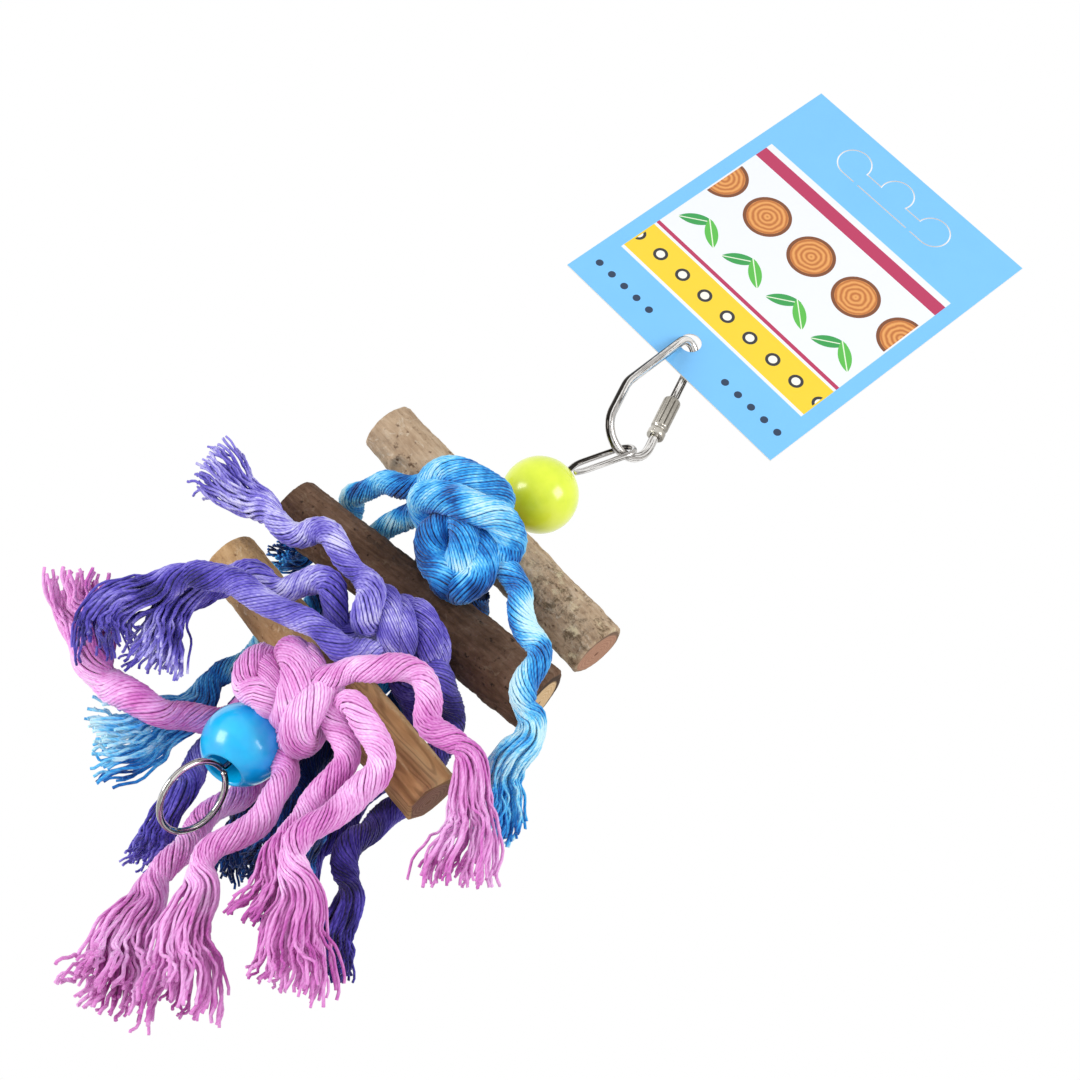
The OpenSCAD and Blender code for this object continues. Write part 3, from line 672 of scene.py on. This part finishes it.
knotTurns = {  # the turns round the wire and the ways to the front, under the lobes
    "blue": [(4.4, [(-8, -3, 0), (0, -1, 0), (8, -3, 0)]), (4.4, [(-4, -2, 0), (-3, -15, 0)]),
             (4.4, [(4, -2, 0), (6, -15.5, 1)])],
    "purple": [(4.4, [(-7, -2, 0), (0, -1, 0), (7, -2, 0), (13, -3, 0)]), (4.4, [(6, -3, 0), (4, -14, 0)]),
               (4.2, [(12, -3, 0), (15, -12, 3)])],
    "pink": [(3.5, [(-7, -1, 0.5), (0, -0.5, 0), (8, -2, -1)]), (3.5, [(-6, -2, 0), (-9, -8, -1)]),
             (3.5, [(2, -2, 0), (4, -14, 0)]), (3.5, [(7, -3, -1), (9, -11, -2)])],
}
knotYarns = {
    "Yarns": 28, "Inner yarns": 0, "Bundle radius": 0.00365, "Yarn radius": 0.0004, "Turns per metre": -38,
    "Unevenness": 0.22, "Core radius": 0.0034, "Sides": 5, "Seed": 3,
    "tucked": (0.6, 0.45, 0.8),  # both ends of a lobe go back in towards the wire
    "fullRadius": 4.15, "layShift": 0.007,
    "toneSwing": 0.09, "innerDark": 0.34,  # lobes differ a little; the turns under them are painted darker, as painted shade in the gaps between lobes
}


def makeKnot(colour, lobes):
    start = np.array(stemAt) + (0, 0, knotHeight[colour])
    paths = []
    for kind, strokes in enumerate((lobes, knotTurns[colour])):
        for radius, points in strokes:
            points = np.array(points, float)
            if kind == 0:
                first, last = points[[0, -1]] * knotYarns["tucked"]
                points = np.vstack([first, points, last])
            line = smoothLine(start + points / 1000, strand["step"])
            ahead, side = framesOf(line)
            arc = arcOf(line)
            tone = knotTone[colour] + knotYarns["toneSwing"] * math.sin(3 * len(paths))
            paths.append(columns(
                line, ahead, side, arc, arc + knotYarns["layShift"] * len(paths), open=0.0,
                # the turns under the lobes get painted shade
                thick=radius / knotYarns["fullRadius"], tone=tone - knotYarns["innerDark"] * kind))
    source = layPaths(f"{colour}_knot_path", paths)
    piece = growFrom(source, {**knotYarns, "Yarn finish": ropeInks[colour]}, f"{colour}_knot_yarns")
    handOver(piece, "stem", f"{colour}_knot")


for colour, lobes in knots.items():
    makeKnot(colour, lobes)
print("knots tied")


# Round wires and turned pieces

def makeMesh(name, points, faces, material):
    mesh = bpy.data.meshes.new(name)
    mesh.from_pydata([tuple(p) for p in points], [], faces)
    mesh.materials.append(material)
    mesh.polygons.foreach_set("use_smooth", [True] * len(mesh.polygons))
    mesh.update()
    return addObject(name, mesh)


# Quads between rings of points; closed joins the last ring to the first
def wallFaces(rows, around, closed=False):
    faces = []
    for i in range(rows if closed else rows - 1):
        here, there = i * around, (i + 1) % rows * around
        for j in range(around):
            n = (j + 1) % around
            faces.append((here + j, here + n, there + n, there + j))
    return faces


def turnsOf(sides):
    return [fullTurn * j / sides for j in range(sides)]


dome = {"angles": (20, 40, 60, 80), "depth": 0.6}


# Points, faces and the coordinates that painted reflection bands follow, of a round wire along a line, with
# domed ends
def sweepRound(line, radius, sides):
    ahead, side = framesOf(line)
    up = np.cross(ahead, side)
    turn = np.linspace(0, fullTurn, sides, endpoint=False)
    ring = np.cos(turn)[:, None, None] * side + np.sin(turn)[:, None, None] * up

    def domed(i, way):
        tip = way * ahead[i] * radius
        return [line[i] + tip * math.sin(a) * dome["depth"] + ring[:, i] * radius * math.cos(a)
                for a in np.radians(dome["angles"])]

    rows = domed(0, -1)[::-1] + [line[i] + ring[:, i] * radius for i in range(len(line))] + domed(-1, 1)
    last = (len(rows) - 1) * sides
    faces = wallFaces(len(rows), sides) + [tuple(range(sides))[::-1], tuple(range(last, last + sides))]
    along = np.pad(arcOf(line), len(dome["angles"]), "edge") * 100
    drawn = [(math.cos(t), math.sin(t), s) for s in along for t in turn]
    return np.concatenate(rows), faces, drawn


def arcPoints(centre, radius, start, end, count):
    turn = np.radians(np.linspace(start, end, count))
    return [(centre[0] + radius * math.cos(t), 0, centre[1] + radius * math.sin(t)) for t in turn]


# Plated metal with painted reflections: dark and bright bands follow the attribute that mark names
def metalFinish(name, stops, rough, scratch, mark, fluteShade=None):
    material, tree, shader = newFinish(name, Metallic=1.0)
    place = objectPlace(tree)
    drawn = attribute(tree, mark, "Vector")
    # painted reflection: dark and bright bands across and along the metal
    reflectionBands = noiseAt(stretched(drawn, (1, 1, 0.22)), 1.35, 3, 0.5)
    colour = ramp(reflectionBands + spreadOut(noiseAt(place, 1500, 3), 0.3, 0.7, -0.02, 0.02), stops)
    if fluteShade:  # painted shade in the bottom of the flutes
        colour = mixInk(spreadOut(parts(drawn)[0], 0.02, 0.15, 0, 0.85), colour, fluteShade)
    feed(shader, "Base Color", colour)
    feed(shader, "Roughness", spreadOut(noiseAt(place, 900, 3), 0.3, 0.7, rough * 0.75, rough * 1.4))
    bumped(shader, noiseAt(place, 2400, 3), scratch, 0.00004)
    return material


# the dark and bright stops below are painted reflection bands
wireMetal = metalFinish("bright_wire", [
    (0.4, "#2A2724"), (0.46, "#67635F"), (0.49, "#DAD7D3"), (0.55, "#F6F4F1"), (0.58, "#3E3A37"),
    (0.63, "#B0ACA8")], 0.09, 0.12, "drawn")
linkMetal = metalFinish("plated_link", [
    (0.4, "#2D2A27"), (0.46, "#6F6B67"), (0.49, "#E4E1DD"), (0.55, "#F8F6F3"), (0.58, "#45413D"),
    (0.63, "#BAB6B2")], 0.1, 0.15, "drawn")
# the sleeve's bands are painted reflection, and its last colour is painted shade for the flute bottoms
sleeveMetal = metalFinish("plated_sleeve", [
    (0.36, "#6F6A62"), (0.5, "#B5B0A6"), (0.62, "#D6D2C9")], 0.24, 0.3, "flute", "#4F4A43")

link = {"wide": 15.2, "long": 41.6, "topRadius": 3.2, "side": 8.4, "wire": 1.25, "lean": -20.4, "turn": 40.0,
        "gapUp": 2, "gap": 5, "step": 0.45, "sides": 24}
sleeve = {"up": 3.4, "length": 13.0, "radius": 2.4, "bore": 1.36, "sides": 120,
          "flutes": 10, "fluteDepth": 0.34, "flutesFrom": 3.4, "flutesTo": 0.6}


# The link's own plane, z along it, into the frame of the pieces
def linkPlace():
    hang = Vector((-link["topRadius"], 0, link["long"])) / 1000
    return (Matrix.Translation(joints["link_swing"]["pos_m"])
            @ Matrix.Rotation(math.radians(link["lean"]), 4, "Y")
            @ Matrix.Rotation(math.radians(link["turn"]), 4, "Z") @ Matrix.Translation(-hang))


def makeLink():
    bend, top = link["wide"] / 2, link["topRadius"]
    sideCentre, topCentre = (-bend, bend + link["side"]), (-top, link["long"] - top)
    dx, dz = topCentre[0] - sideCentre[0], topCentre[1] - sideCentre[1]
    normal = math.degrees(math.atan2(dz, dx) + math.acos((bend - top) / math.hypot(dx, dz)))
    gapLow = bend + sleeve["up"] + link["gapUp"]
    line = [(0, 0, gapLow), (0, 0, bend)]
    line += arcPoints((-bend, bend), bend, 0, -180, 40)[1:]
    line += arcPoints(sideCentre, bend, 180, normal, 8)
    line += arcPoints(topCentre, top, normal, 0, 26)
    line += [(0, 0, gapLow + link["gap"])]
    dense = evenly(np.array(line, float), link["step"]) / 1000
    points, faces, drawn = sweepRound(dense, link["wire"] / 1000, link["sides"])
    place = linkPlace()
    piece = makeMesh("link_wire", [place @ Vector(p) for p in points], faces, linkMetal)
    addLayer(piece.data, "drawn", drawn)
    handOver(piece, "link", "quick_link")


def makeSleeve():
    r, long, bore = sleeve["radius"], sleeve["length"], sleeve["bore"]
    profile = [(bore, 0), (r - 0.35, 0), (r - 0.1, 0.12), (r, 0.4), (r, 1.75), (r - 0.12, 2.0),
               (r - 0.5, 2.25), (r - 0.5, 2.8), (r - 0.12, 3.05), (r, 3.35)]
    profile += [(r, z) for z in np.linspace(3.8, long - 0.9, 16)]
    profile += [(r - 0.12, long - 0.6), (r - 0.6, long - 0.05), (r - 0.75, long), (bore, long)]
    profile += [(bore, long * 0.66), (bore, long * 0.33)]
    points, flutes = [], []
    for radius, z in profile:
        fluted = sleeve["flutesFrom"] < z < long - sleeve["flutesTo"] and radius > bore
        for t in turnsOf(sleeve["sides"]):
            flute = max(0.0, math.cos(sleeve["flutes"] * t)) ** 3
            depth = sleeve["fluteDepth"] * flute if fluted else 0.0
            flutes.append((depth * 0.5, 0.08 * math.cos(t), z * 0.05))
            points.append(((radius - depth) * math.cos(t), (radius - depth) * math.sin(t), z))
    place = linkPlace() @ Matrix.Translation((0, 0, (link["wide"] / 2 + sleeve["up"]) / 1000))
    piece = makeMesh("fluted_sleeve", [place @ (Vector(p) / 1000) for p in points],
                     wallFaces(len(profile), sleeve["sides"], closed=True), sleeveMetal)
    addLayer(piece.data, "flute", flutes)
    handOver(piece, "sleeve", "link_sleeve")


makeLink()
makeSleeve()
print("link and sleeve made")

stem = {"wire": 0.8, "eyeRadius": 2.6, "eyeLong": 19.0, "lean": 21.0, "roll": -36.0, "base": 10.0,
        "kink": -100.8, "corner": (3.4, -4.6, -108.544), "ringRadius": 9.1, "ringTurn": 66.6,
        "ringFrom": 94, "ringSweep": 352, "step": 0.5, "sides": 18, "easings": 3}


# One wire: cut end, long eye, shank, bent foot and the ring
def makeStemWire():
    r, top = stem["eyeRadius"], stem["eyeLong"] - stem["eyeRadius"]
    eye = [(1.76, 0, 1.6), (r * 0.9, 0, 3.0), (r, 0, 4.6), (r, 0, 8), (r, 0, top)]
    eye += arcPoints((0, top), r, 0, 180, 24)[1:]
    eye += [(-r, 0, 8), (-r, 0, 4.8), (-r * 0.85, 0, 3.2), (-r * 0.2, 0, 0.6)]
    lift = (Matrix.Translation((0, 0, stem["base"])) @ Matrix.Rotation(math.radians(stem["lean"]), 4, "Y")
            @ Matrix.Rotation(math.radians(stem["roll"]), 4, "Z"))
    line = [tuple(lift @ Vector(p)) for p in eye]
    line += [(0, 0, stem["base"] - 1.2), (0, 0, 0), (0, 0, -50), (0, 0, stem["kink"] + 1.2)]
    cx, cy, cz = stem["corner"]
    line += [(cx * 0.2, cy * 0.2, stem["kink"] - 1.4), (cx * 0.8, cy * 0.8, cz + 2.0)]
    turn, start = math.radians(stem["ringTurn"]), stem["ringFrom"]
    ring = arcPoints((0, cz - stem["ringRadius"]), stem["ringRadius"], start, start + stem["ringSweep"], 72)
    line += [(cx + x * math.cos(turn), cy + x * math.sin(turn), z) for x, _, z in ring]
    dense = evenly(np.array(line, float), stem["step"])
    for _ in range(stem["easings"]):
        dense[1:-1] = (dense[:-2] + 2 * dense[1:-1] + dense[2:]) / 4
    points, faces, drawn = sweepRound(np.array(stemAt) + dense / 1000, stem["wire"] / 1000, stem["sides"])
    piece = makeMesh("formed_wire", points, faces, wireMetal)
    addLayer(piece.data, "drawn", drawn)
    handOver(piece, "stem", "stem_wire")


makeStemWire()
print("stem wire bent")


# Beads

def beadFinish(name, base, deep, pale):
    material, tree, shader = newFinish(name, **{
        "Roughness": 0.28, "Coat Weight": 0.6, "Coat Roughness": 0.15, "IOR": 1.5})
    place = objectPlace(tree)
    feed(shader, "Base Color", ramp(noiseAt(place, 130, 3), [(0.25, deep), (0.5, base), (0.78, pale)]))
    bumped(shader, noiseAt(place, 420, 2), 0.12, 0.0001)
    return material


beadShape = {"radius": 10.0, "rim": 0.75, "rings": 70, "boreRings": 14, "lipRings": 7, "sides": 96}
beads = {
    "top_bead": {"joint": "green_bead_spin", "body": "green_bead", "slot": "green_bead", "bore": 1.5,
                 "finish": beadFinish("lime_gloss", "#E8F738", "#D9EC24", "#F1FB52")},
    "bottom_bead": {"joint": "blue_bead_spin", "body": "blue_bead", "slot": "blue_bead", "bore": 4.6,
                    "finish": beadFinish("azure_gloss", "#00BEF7", "#00ACEC", "#0CCEFC")},
}


# A ball with a bore, and a soft lip where they meet
def makeBead(node, settings):
    r, rim, sides, bore = beadShape["radius"], beadShape["rim"], beadShape["sides"], settings["bore"]
    edge = math.asin((bore + rim) / r)
    height = r * math.cos(edge)
    ball = [(r * math.sin(a), r * math.cos(a)) for a in np.linspace(edge, math.pi - edge, beadShape["rings"])]
    lip = [(bore + rim * (1 - math.sin(a)) * 0.9, height - rim * 0.81 * (1 - math.cos(a)) - 0.02)
           for a in np.linspace(0.35, math.pi / 2, beadShape["lipRings"])]
    inside = [(bore, z) for z in np.linspace(-height + rim, height - rim, beadShape["boreRings"])]
    loop = ball + [(x, -z) for x, z in lip] + inside + lip[::-1]
    points = [(x * math.cos(t), x * math.sin(t), z) for x, z in loop for t in turnsOf(sides)]
    faces = [(a, d, c, b) for a, b, c, d in wallFaces(len(loop), sides, closed=True)]  # to face outwards
    joint = joints[settings["joint"]]
    axis = Vector(joint["axis"]).normalized()
    place = Matrix.Translation(joint["pos_m"]) @ axis.to_track_quat("Z", "Y").to_matrix().to_4x4()
    piece = makeMesh(node + "_gloss", [place @ (Vector(p) / 1000) for p in points], faces, settings["finish"])
    handOver(piece, settings["body"], node)


for node, settings in beads.items():
    makeBead(node, settings)
print("beads turned")


# Twigs

twigs = {
    "upper_twig": {"body": "twig_a", "slot": "grey_bark", "height": -17.8, "long": 82.0, "slope": 4.9,
                   "radius": 7.5, "grow": 0.1, "rough": 0.2, "groove": 0.14, "bow": 0.4, "seed": 3,
                   "scar": (-27.5, -118, 3.4), "facets": []},
    "middle_twig": {"body": "twig_b", "slot": "dark_bark", "height": -44.4, "long": 81.0, "slope": -4.8,
                    "radius": 8.2, "grow": 0.45, "rough": 0.28, "groove": 0.22, "bow": 0.5, "seed": 9,
                    "scar": None, "facets": []},
    "lower_twig": {"body": "twig_c", "slot": "carved_wood", "height": -73.6, "long": 81.0, "slope": 7.1,
                   "radius": 7.8, "grow": 0.8, "rough": 0.16, "groove": 0.05, "bow": 0.5, "seed": 21,
                   "scar": None, "facets": [(-90, 9, 5.4), (-138, 16, 6.9), (-40, 24, 7.0), (158, 2, 7.2)]},
}


# Bark on the side, growth rings and saw marks on the ends; reads the twig's own attributes
def barkFinish(name, bark, specks, fibre, endInk, ringInk, cracks=0.0):
    material, tree, shader = newFinish(name, **{"Roughness": 0.85, "Specular IOR Level": 0.25})
    coords = attribute(tree, "barkPlace", "Vector")
    stretch = stretched(coords, (0.22, 1, 1))
    fine = noiseAt(stretch, fibre, 5, 0.65, 0.3)
    spots = noiseAt(coords, 520, 3, 0.6)
    side = ramp(noiseAt(coords, 90, 5, 0.6, 0.4) * 0.5 + fine * 0.5, bark)
    side = mixInk(spreadOut(spots, 0.61, 0.72), side, specks[0])
    side = mixInk(spreadOut(noiseAt(coords, 330, 5, 0.62, 1.4), 0.58, 0.72) * 0.7, side, specks[1])
    if cracks:  # darker, cracked bark towards one end
        there = spreadOut(parts(coords)[0], 0.002, 0.022) * cracks
        crazed = spreadOut(noiseAt(coords, 360, 7, 0.78, 0.5), 0.5, 0.6)
        side = mixInk(there * crazed, side, "#5A4A33")
        flakes = spreadOut(noiseAt(coords, 230, 5, 0.7), 0.55, 0.64)
        side = mixInk(there * flakes, side, "#D9C9A6")
    knife = ramp(noiseAt(stretch, 160, 4, 0.6, 1.0), [
        (0.25, "#88613F"), (0.42, "#B18456"), (0.58, "#CCA06D"), (0.8, "#DFC08C")])
    grain = (noiseAt(stretch, 85, 2, 0.5, 0.8) * 70).calc("SINE")
    knife = mixInk(spreadOut(grain, 0.1, 1, 0, 0.45), knife, "#6E4C30")
    side = mixInk(attribute(tree, "knifeCut"), side, knife)
    distance = attribute(tree, "pith")
    rings = ((distance + noiseAt(coords, 240, 3) * 0.0012) * 6200).calc("SINE")
    face = mixInk(spreadOut(rings, -1, 1, 0.1, 0.75), endInk, ringInk)
    face = mixInk(spreadOut(distance, 0.0004, 0.0009, 1, 0), face, "#7A5540")  # the pith
    face = mixInk(spreadOut(distance, 0.0062, 0.0069, 0, 1), face, bark[0][1])  # bark round the rim
    feed(shader, "Base Color", mixInk(attribute(tree, "cutFace"), side, face))
    bumped(shader, fine + (spots + noiseAt(coords, 1500, 2) * 0.6), 0.7, 0.00035)
    return material


twigFinish = {
    "upper_twig": barkFinish("grey_bark", [
        (0.28, "#7A6250"), (0.42, "#A1876D"), (0.55, "#BBA287"), (0.7, "#D2BFA6")],
        ("#5E4836", "#D8CBB6"), 700, "#BC8F76", "#A2765F", 0.8),
    "middle_twig": barkFinish("dark_bark", [
        (0.3, "#3F2D20"), (0.45, "#5C4332"), (0.58, "#745947"), (0.72, "#8E7866")],
        ("#281B12", "#85705C"), 900, "#E2C49A", "#C7A070"),
    "lower_twig": barkFinish("peeled_wood", [
        (0.28, "#8C6743"), (0.42, "#B08A5E"), (0.56, "#C9A577"), (0.72, "#D9BC92")],
        ("#7A5535", "#E4CDA6"), 520, "#96715D", "#744F40"),
}
branch = {"rows": 250, "sides": 132, "capRings": 16, "edge": 0.8, "facetWidth": 1.3, "runOut": 0.22,
          "pithOffset": (0.8, -0.5), "barkRadius": 0.008}  # the bark's pattern is wrapped on barkRadius


# Distance from the twig's middle line, and how far it is shaved, at x along and turn t
def twigRadius(settings, seed, x, t):
    half, radius = settings["long"] / 2, settings["radius"]
    c, s = math.cos(t), math.sin(t)
    lump = noise.fractal(Vector((x * 0.045, c * 0.7, s * 0.7)) + seed, 1.0, 2.0, 3) * 0.45
    rough = noise.fractal(Vector((x * 0.35, c * 2.6, s * 2.6)) + seed, 0.8, 2.0, 4) * settings["rough"]
    groove = noise.noise(Vector((x * 0.06, c * 6.5, s * 6.5)) + seed)
    out = radius + settings["grow"] * x / half
    out += lump * 0.9 + rough - settings["groove"] * max(0.0, groove) * 2
    if settings["scar"]:  # a raised ring round a hollow
        scarAt, angle, size = settings["scar"]
        gap = math.hypot(x - scarAt, radius * math.remainder(t - math.radians(angle), fullTurn))
        out += 0.8 * math.exp(-(gap - size) ** 2) - 0.7 * math.exp(-(gap / (size * 0.7)) ** 2)
    shaved = 0.0
    for angle, begin, depth in settings["facets"]:
        a = math.remainder(t - math.radians(angle), fullTurn)
        if abs(a) < branch["facetWidth"] and x > begin - 3:
            ripple = 0.25 * noise.noise(Vector((x * 0.2, c, s)) + seed)
            slope = depth + max(0.0, begin + 6 - x) * branch["runOut"] + ripple
            flat = slope / max(math.cos(a), 0.2)
            if flat < out:
                shaved = min(1.0, (out - flat) / 0.25)
                out = flat
    inwards = 1 - (half - abs(x)) / branch["edge"]
    if inwards > 0:  # the sawn edge is a little rounded
        out -= branch["edge"] * (1 - math.sqrt(max(0.0, 1 - inwards ** 2))) * 0.8
    return out, shaved


# A cut length of branch: uneven, grooved along the grain, with sawn ends
def makeTwig(node, settings):
    half, bow = settings["long"] / 2, settings["bow"]
    rows, around, capRings = branch["rows"], branch["sides"], branch["capRings"]
    seed = Vector((settings["seed"] * 3.1, settings["seed"] * 1.7, 0))
    points, layers = [], {"barkPlace": [], "cutFace": [], "pith": [], "knifeCut": []}

    def addPoint(point, *marks):
        points.append(point)
        for column, mark in zip(layers.values(), marks):
            column.append(mark)

    for x in np.linspace(-half, half, rows):
        y, z = bow * math.cos(x / half * 1.4) - bow * 0.5, bow * 0.6 * math.sin(x / half * 2.0)
        for t in turnsOf(around):
            r, shaved = twigRadius(settings, seed, x, t)
            c, s = math.cos(t), math.sin(t)
            wrapped = (x / 1000, c * branch["barkRadius"], s * branch["barkRadius"])
            addPoint((x, y + r * c, z + r * s), wrapped, 0.0, r / 1000, shaved)
    faces = wallFaces(rows, around)

    for side in (0, 1):  # each sawn end: rings of points from the rim to the middle
        rim = side * (rows - 1) * around
        previous = list(range(rim, rim + around))
        centre = np.mean([points[k] for k in previous], axis=0)
        for ring in range(1, capRings + 1):
            current = []
            for j in range(around):
                if ring == capRings and j > 0:
                    current.append(current[0])
                    continue
                p = centre + (np.array(points[rim + j]) - centre) * (1 - ring / capRings)
                saw = 0.07 * noise.noise(Vector((p[1] * 2.2, p[2] * 0.5, side * 5)) + seed)
                p[0] += (1 if side else -1) * (saw + 0.05 * min(1.0, ring / 2))
                fromPith = np.hypot(*(p[1:] - centre[1:] - branch["pithOffset"]))
                current.append(len(points))
                addPoint(tuple(p), tuple(p / 1000), 1.0, fromPith / 1000, 0.0)
            for j in range(around):
                n = (j + 1) % around
                quad = [previous[j], previous[n], current[n], current[j]]
                if not side:
                    quad = quad[::-1]
                faces.append(tuple(dict.fromkeys(quad)))  # at the middle the quads are triangles
            previous = current

    lean = (Matrix.Translation(stemAt) @ Matrix.Translation((0, 0, settings["height"] / 1000))
            @ Matrix.Rotation(math.radians(settings["slope"]), 4, "Y"))
    piece = makeMesh(node + "_grown", [lean @ (Vector(p) / 1000) for p in points], faces, twigFinish[node])
    for name, marks in layers.items():
        addLayer(piece.data, name, marks)
    handOver(piece, settings["body"], node)


for node, settings in twigs.items():
    makeTwig(node, settings)
print("twigs cut")


# Header card: its CAD solid is right, and gets a printed board finish

card = {  # millimetres across and up from the hang slot, and the lean in degrees
    "lean": -4, "half": 35.5, "bands": [
        (-73, -14, "#EAEDF3"), (-72, -60.5, "#F0CF2C"), (-20.5, -16.2, "#B62D5A"), (-59.6, -58.4, "#B62D5A")],
    "spacing": 17.5, "sliceRow": -33.5, "sliceRadius": 7.0, "sliceBark": 6.0,
    "leafRow": -50, "leafSize": (5.2, 1.9), "vein": 0.16, "leaves": [
        (38, -3.1, "#2F9A4A"), (-38, 3.1, "#57B947")],
    "ringRow": -66.2, "ringSpacing": 8.9, "rings": [(2.1, "#26262B"), (1.25, "#F6F3E8")],
    "dotRow": -81.5, "dotSpacing": 5.0, "dotRadius": 1.1, "dotInk": "#17324F",
    "dotStrips": [(-37.4, -12), (12, 37.4)],
}


# A generic print in card coordinates: bands, wood slices, leaves, rings and dots
def cardFinish():
    material, tree, shader = newFinish("printed_card", **{"Coat Weight": 0.25, "Coat Roughness": 0.12})
    turned = stretched(objectPlace(tree), (1000, 1000, 1000), (0, math.radians(card["lean"]), 0))
    u, depth, v = parts(turned)

    def box(u0, u1, v0, v1):
        return (u > u0) * (u < u1) * ((v > v0) * (v < v1))

    def gap(a, b):
        both = result(tree, "ShaderNodeCombineXYZ", {0: a, 1: b})
        return result(tree, "ShaderNodeVectorMath", {0: both}, "Value", operation="LENGTH")

    def cell(value, size):
        return value.calc("WRAP", size / 2, -size / 2)

    def leaf(a, b, turn):
        long, thin = card["leafSize"]
        c, s = math.cos(math.radians(turn)), math.sin(math.radians(turn))
        along, across = a * c + b * s, b * c - a * s
        big = (long * long + thin * thin) / (2 * thin)  # radius of the two arcs that make the leaf
        reach = gap(along, across + (big - thin)).calc("MAXIMUM", gap(along, across - (big - thin)))
        return reach < big, across

    paint = mixInk(noiseAt(turned, 0.09, 2), "#79C3FA", "#74BEF7")
    for low, high, code in card["bands"]:
        paint = mixInk(box(-card["half"], card["half"], low, high), paint, code)

    # a row of wood slices
    away = gap(cell(u, card["spacing"]), v - card["sliceRow"])
    rings = ((away + noiseAt(turned, 0.35, 2) * 0.9) * 4.4).calc("SINE")
    wood = mixInk(spreadOut(rings, -1, 1), "#E7A35A", "#B96A2C")
    wood = mixInk(away > card["sliceBark"], wood, "#7A431D")
    paint = mixInk((away < card["sliceRadius"]) * box(-35, 35, -42, -25), paint, wood)

    # pairs of veined leaves, half a slice further on
    for turn, shift, code in card["leaves"]:
        across = cell(u + card["spacing"] / 2, card["spacing"]) - shift
        shape, middle = leaf(across, v - card["leafRow"], turn)
        shape = shape * box(-35, 35, -57.5, -43)
        paint = mixInk(shape, paint, code)
        paint = mixInk(shape * (abs(middle) < card["vein"]), paint, "#E9F4DC")

    # dark rings with pale middles on the yellow band, and two rows of dots under the panel
    away = gap(cell(u, card["ringSpacing"]), v - card["ringRow"])
    for radius, code in card["rings"]:
        paint = mixInk((away < radius) * box(-35, 35, -70, -62), paint, code)
    dots = gap(cell(u, card["dotSpacing"]), v - card["dotRow"]) < card["dotRadius"]
    for left, right in card["dotStrips"]:
        paint = mixInk(dots * box(left, right, -84, -79), paint, card["dotInk"])

    board = mixInk(noiseAt(turned, 1.5, 4), "#E9E6DF", "#F4F2EC")
    feed(shader, "Base Color", mixInk(depth < -0.2, board, paint))  # only the front is printed
    feed(shader, "Roughness", spreadOut(noiseAt(turned, 0.22, 4), 0.3, 0.7, 0.28, 0.42))
    bumped(shader, noiseAt(turned, 0.12, 3), 0.25, 0.0006)
    return material


def dressCard():
    materials = frame["nodes"]["header_card"].data.materials
    materials.clear()
    materials.append(cardFinish())


dressCard()
print("card printed")
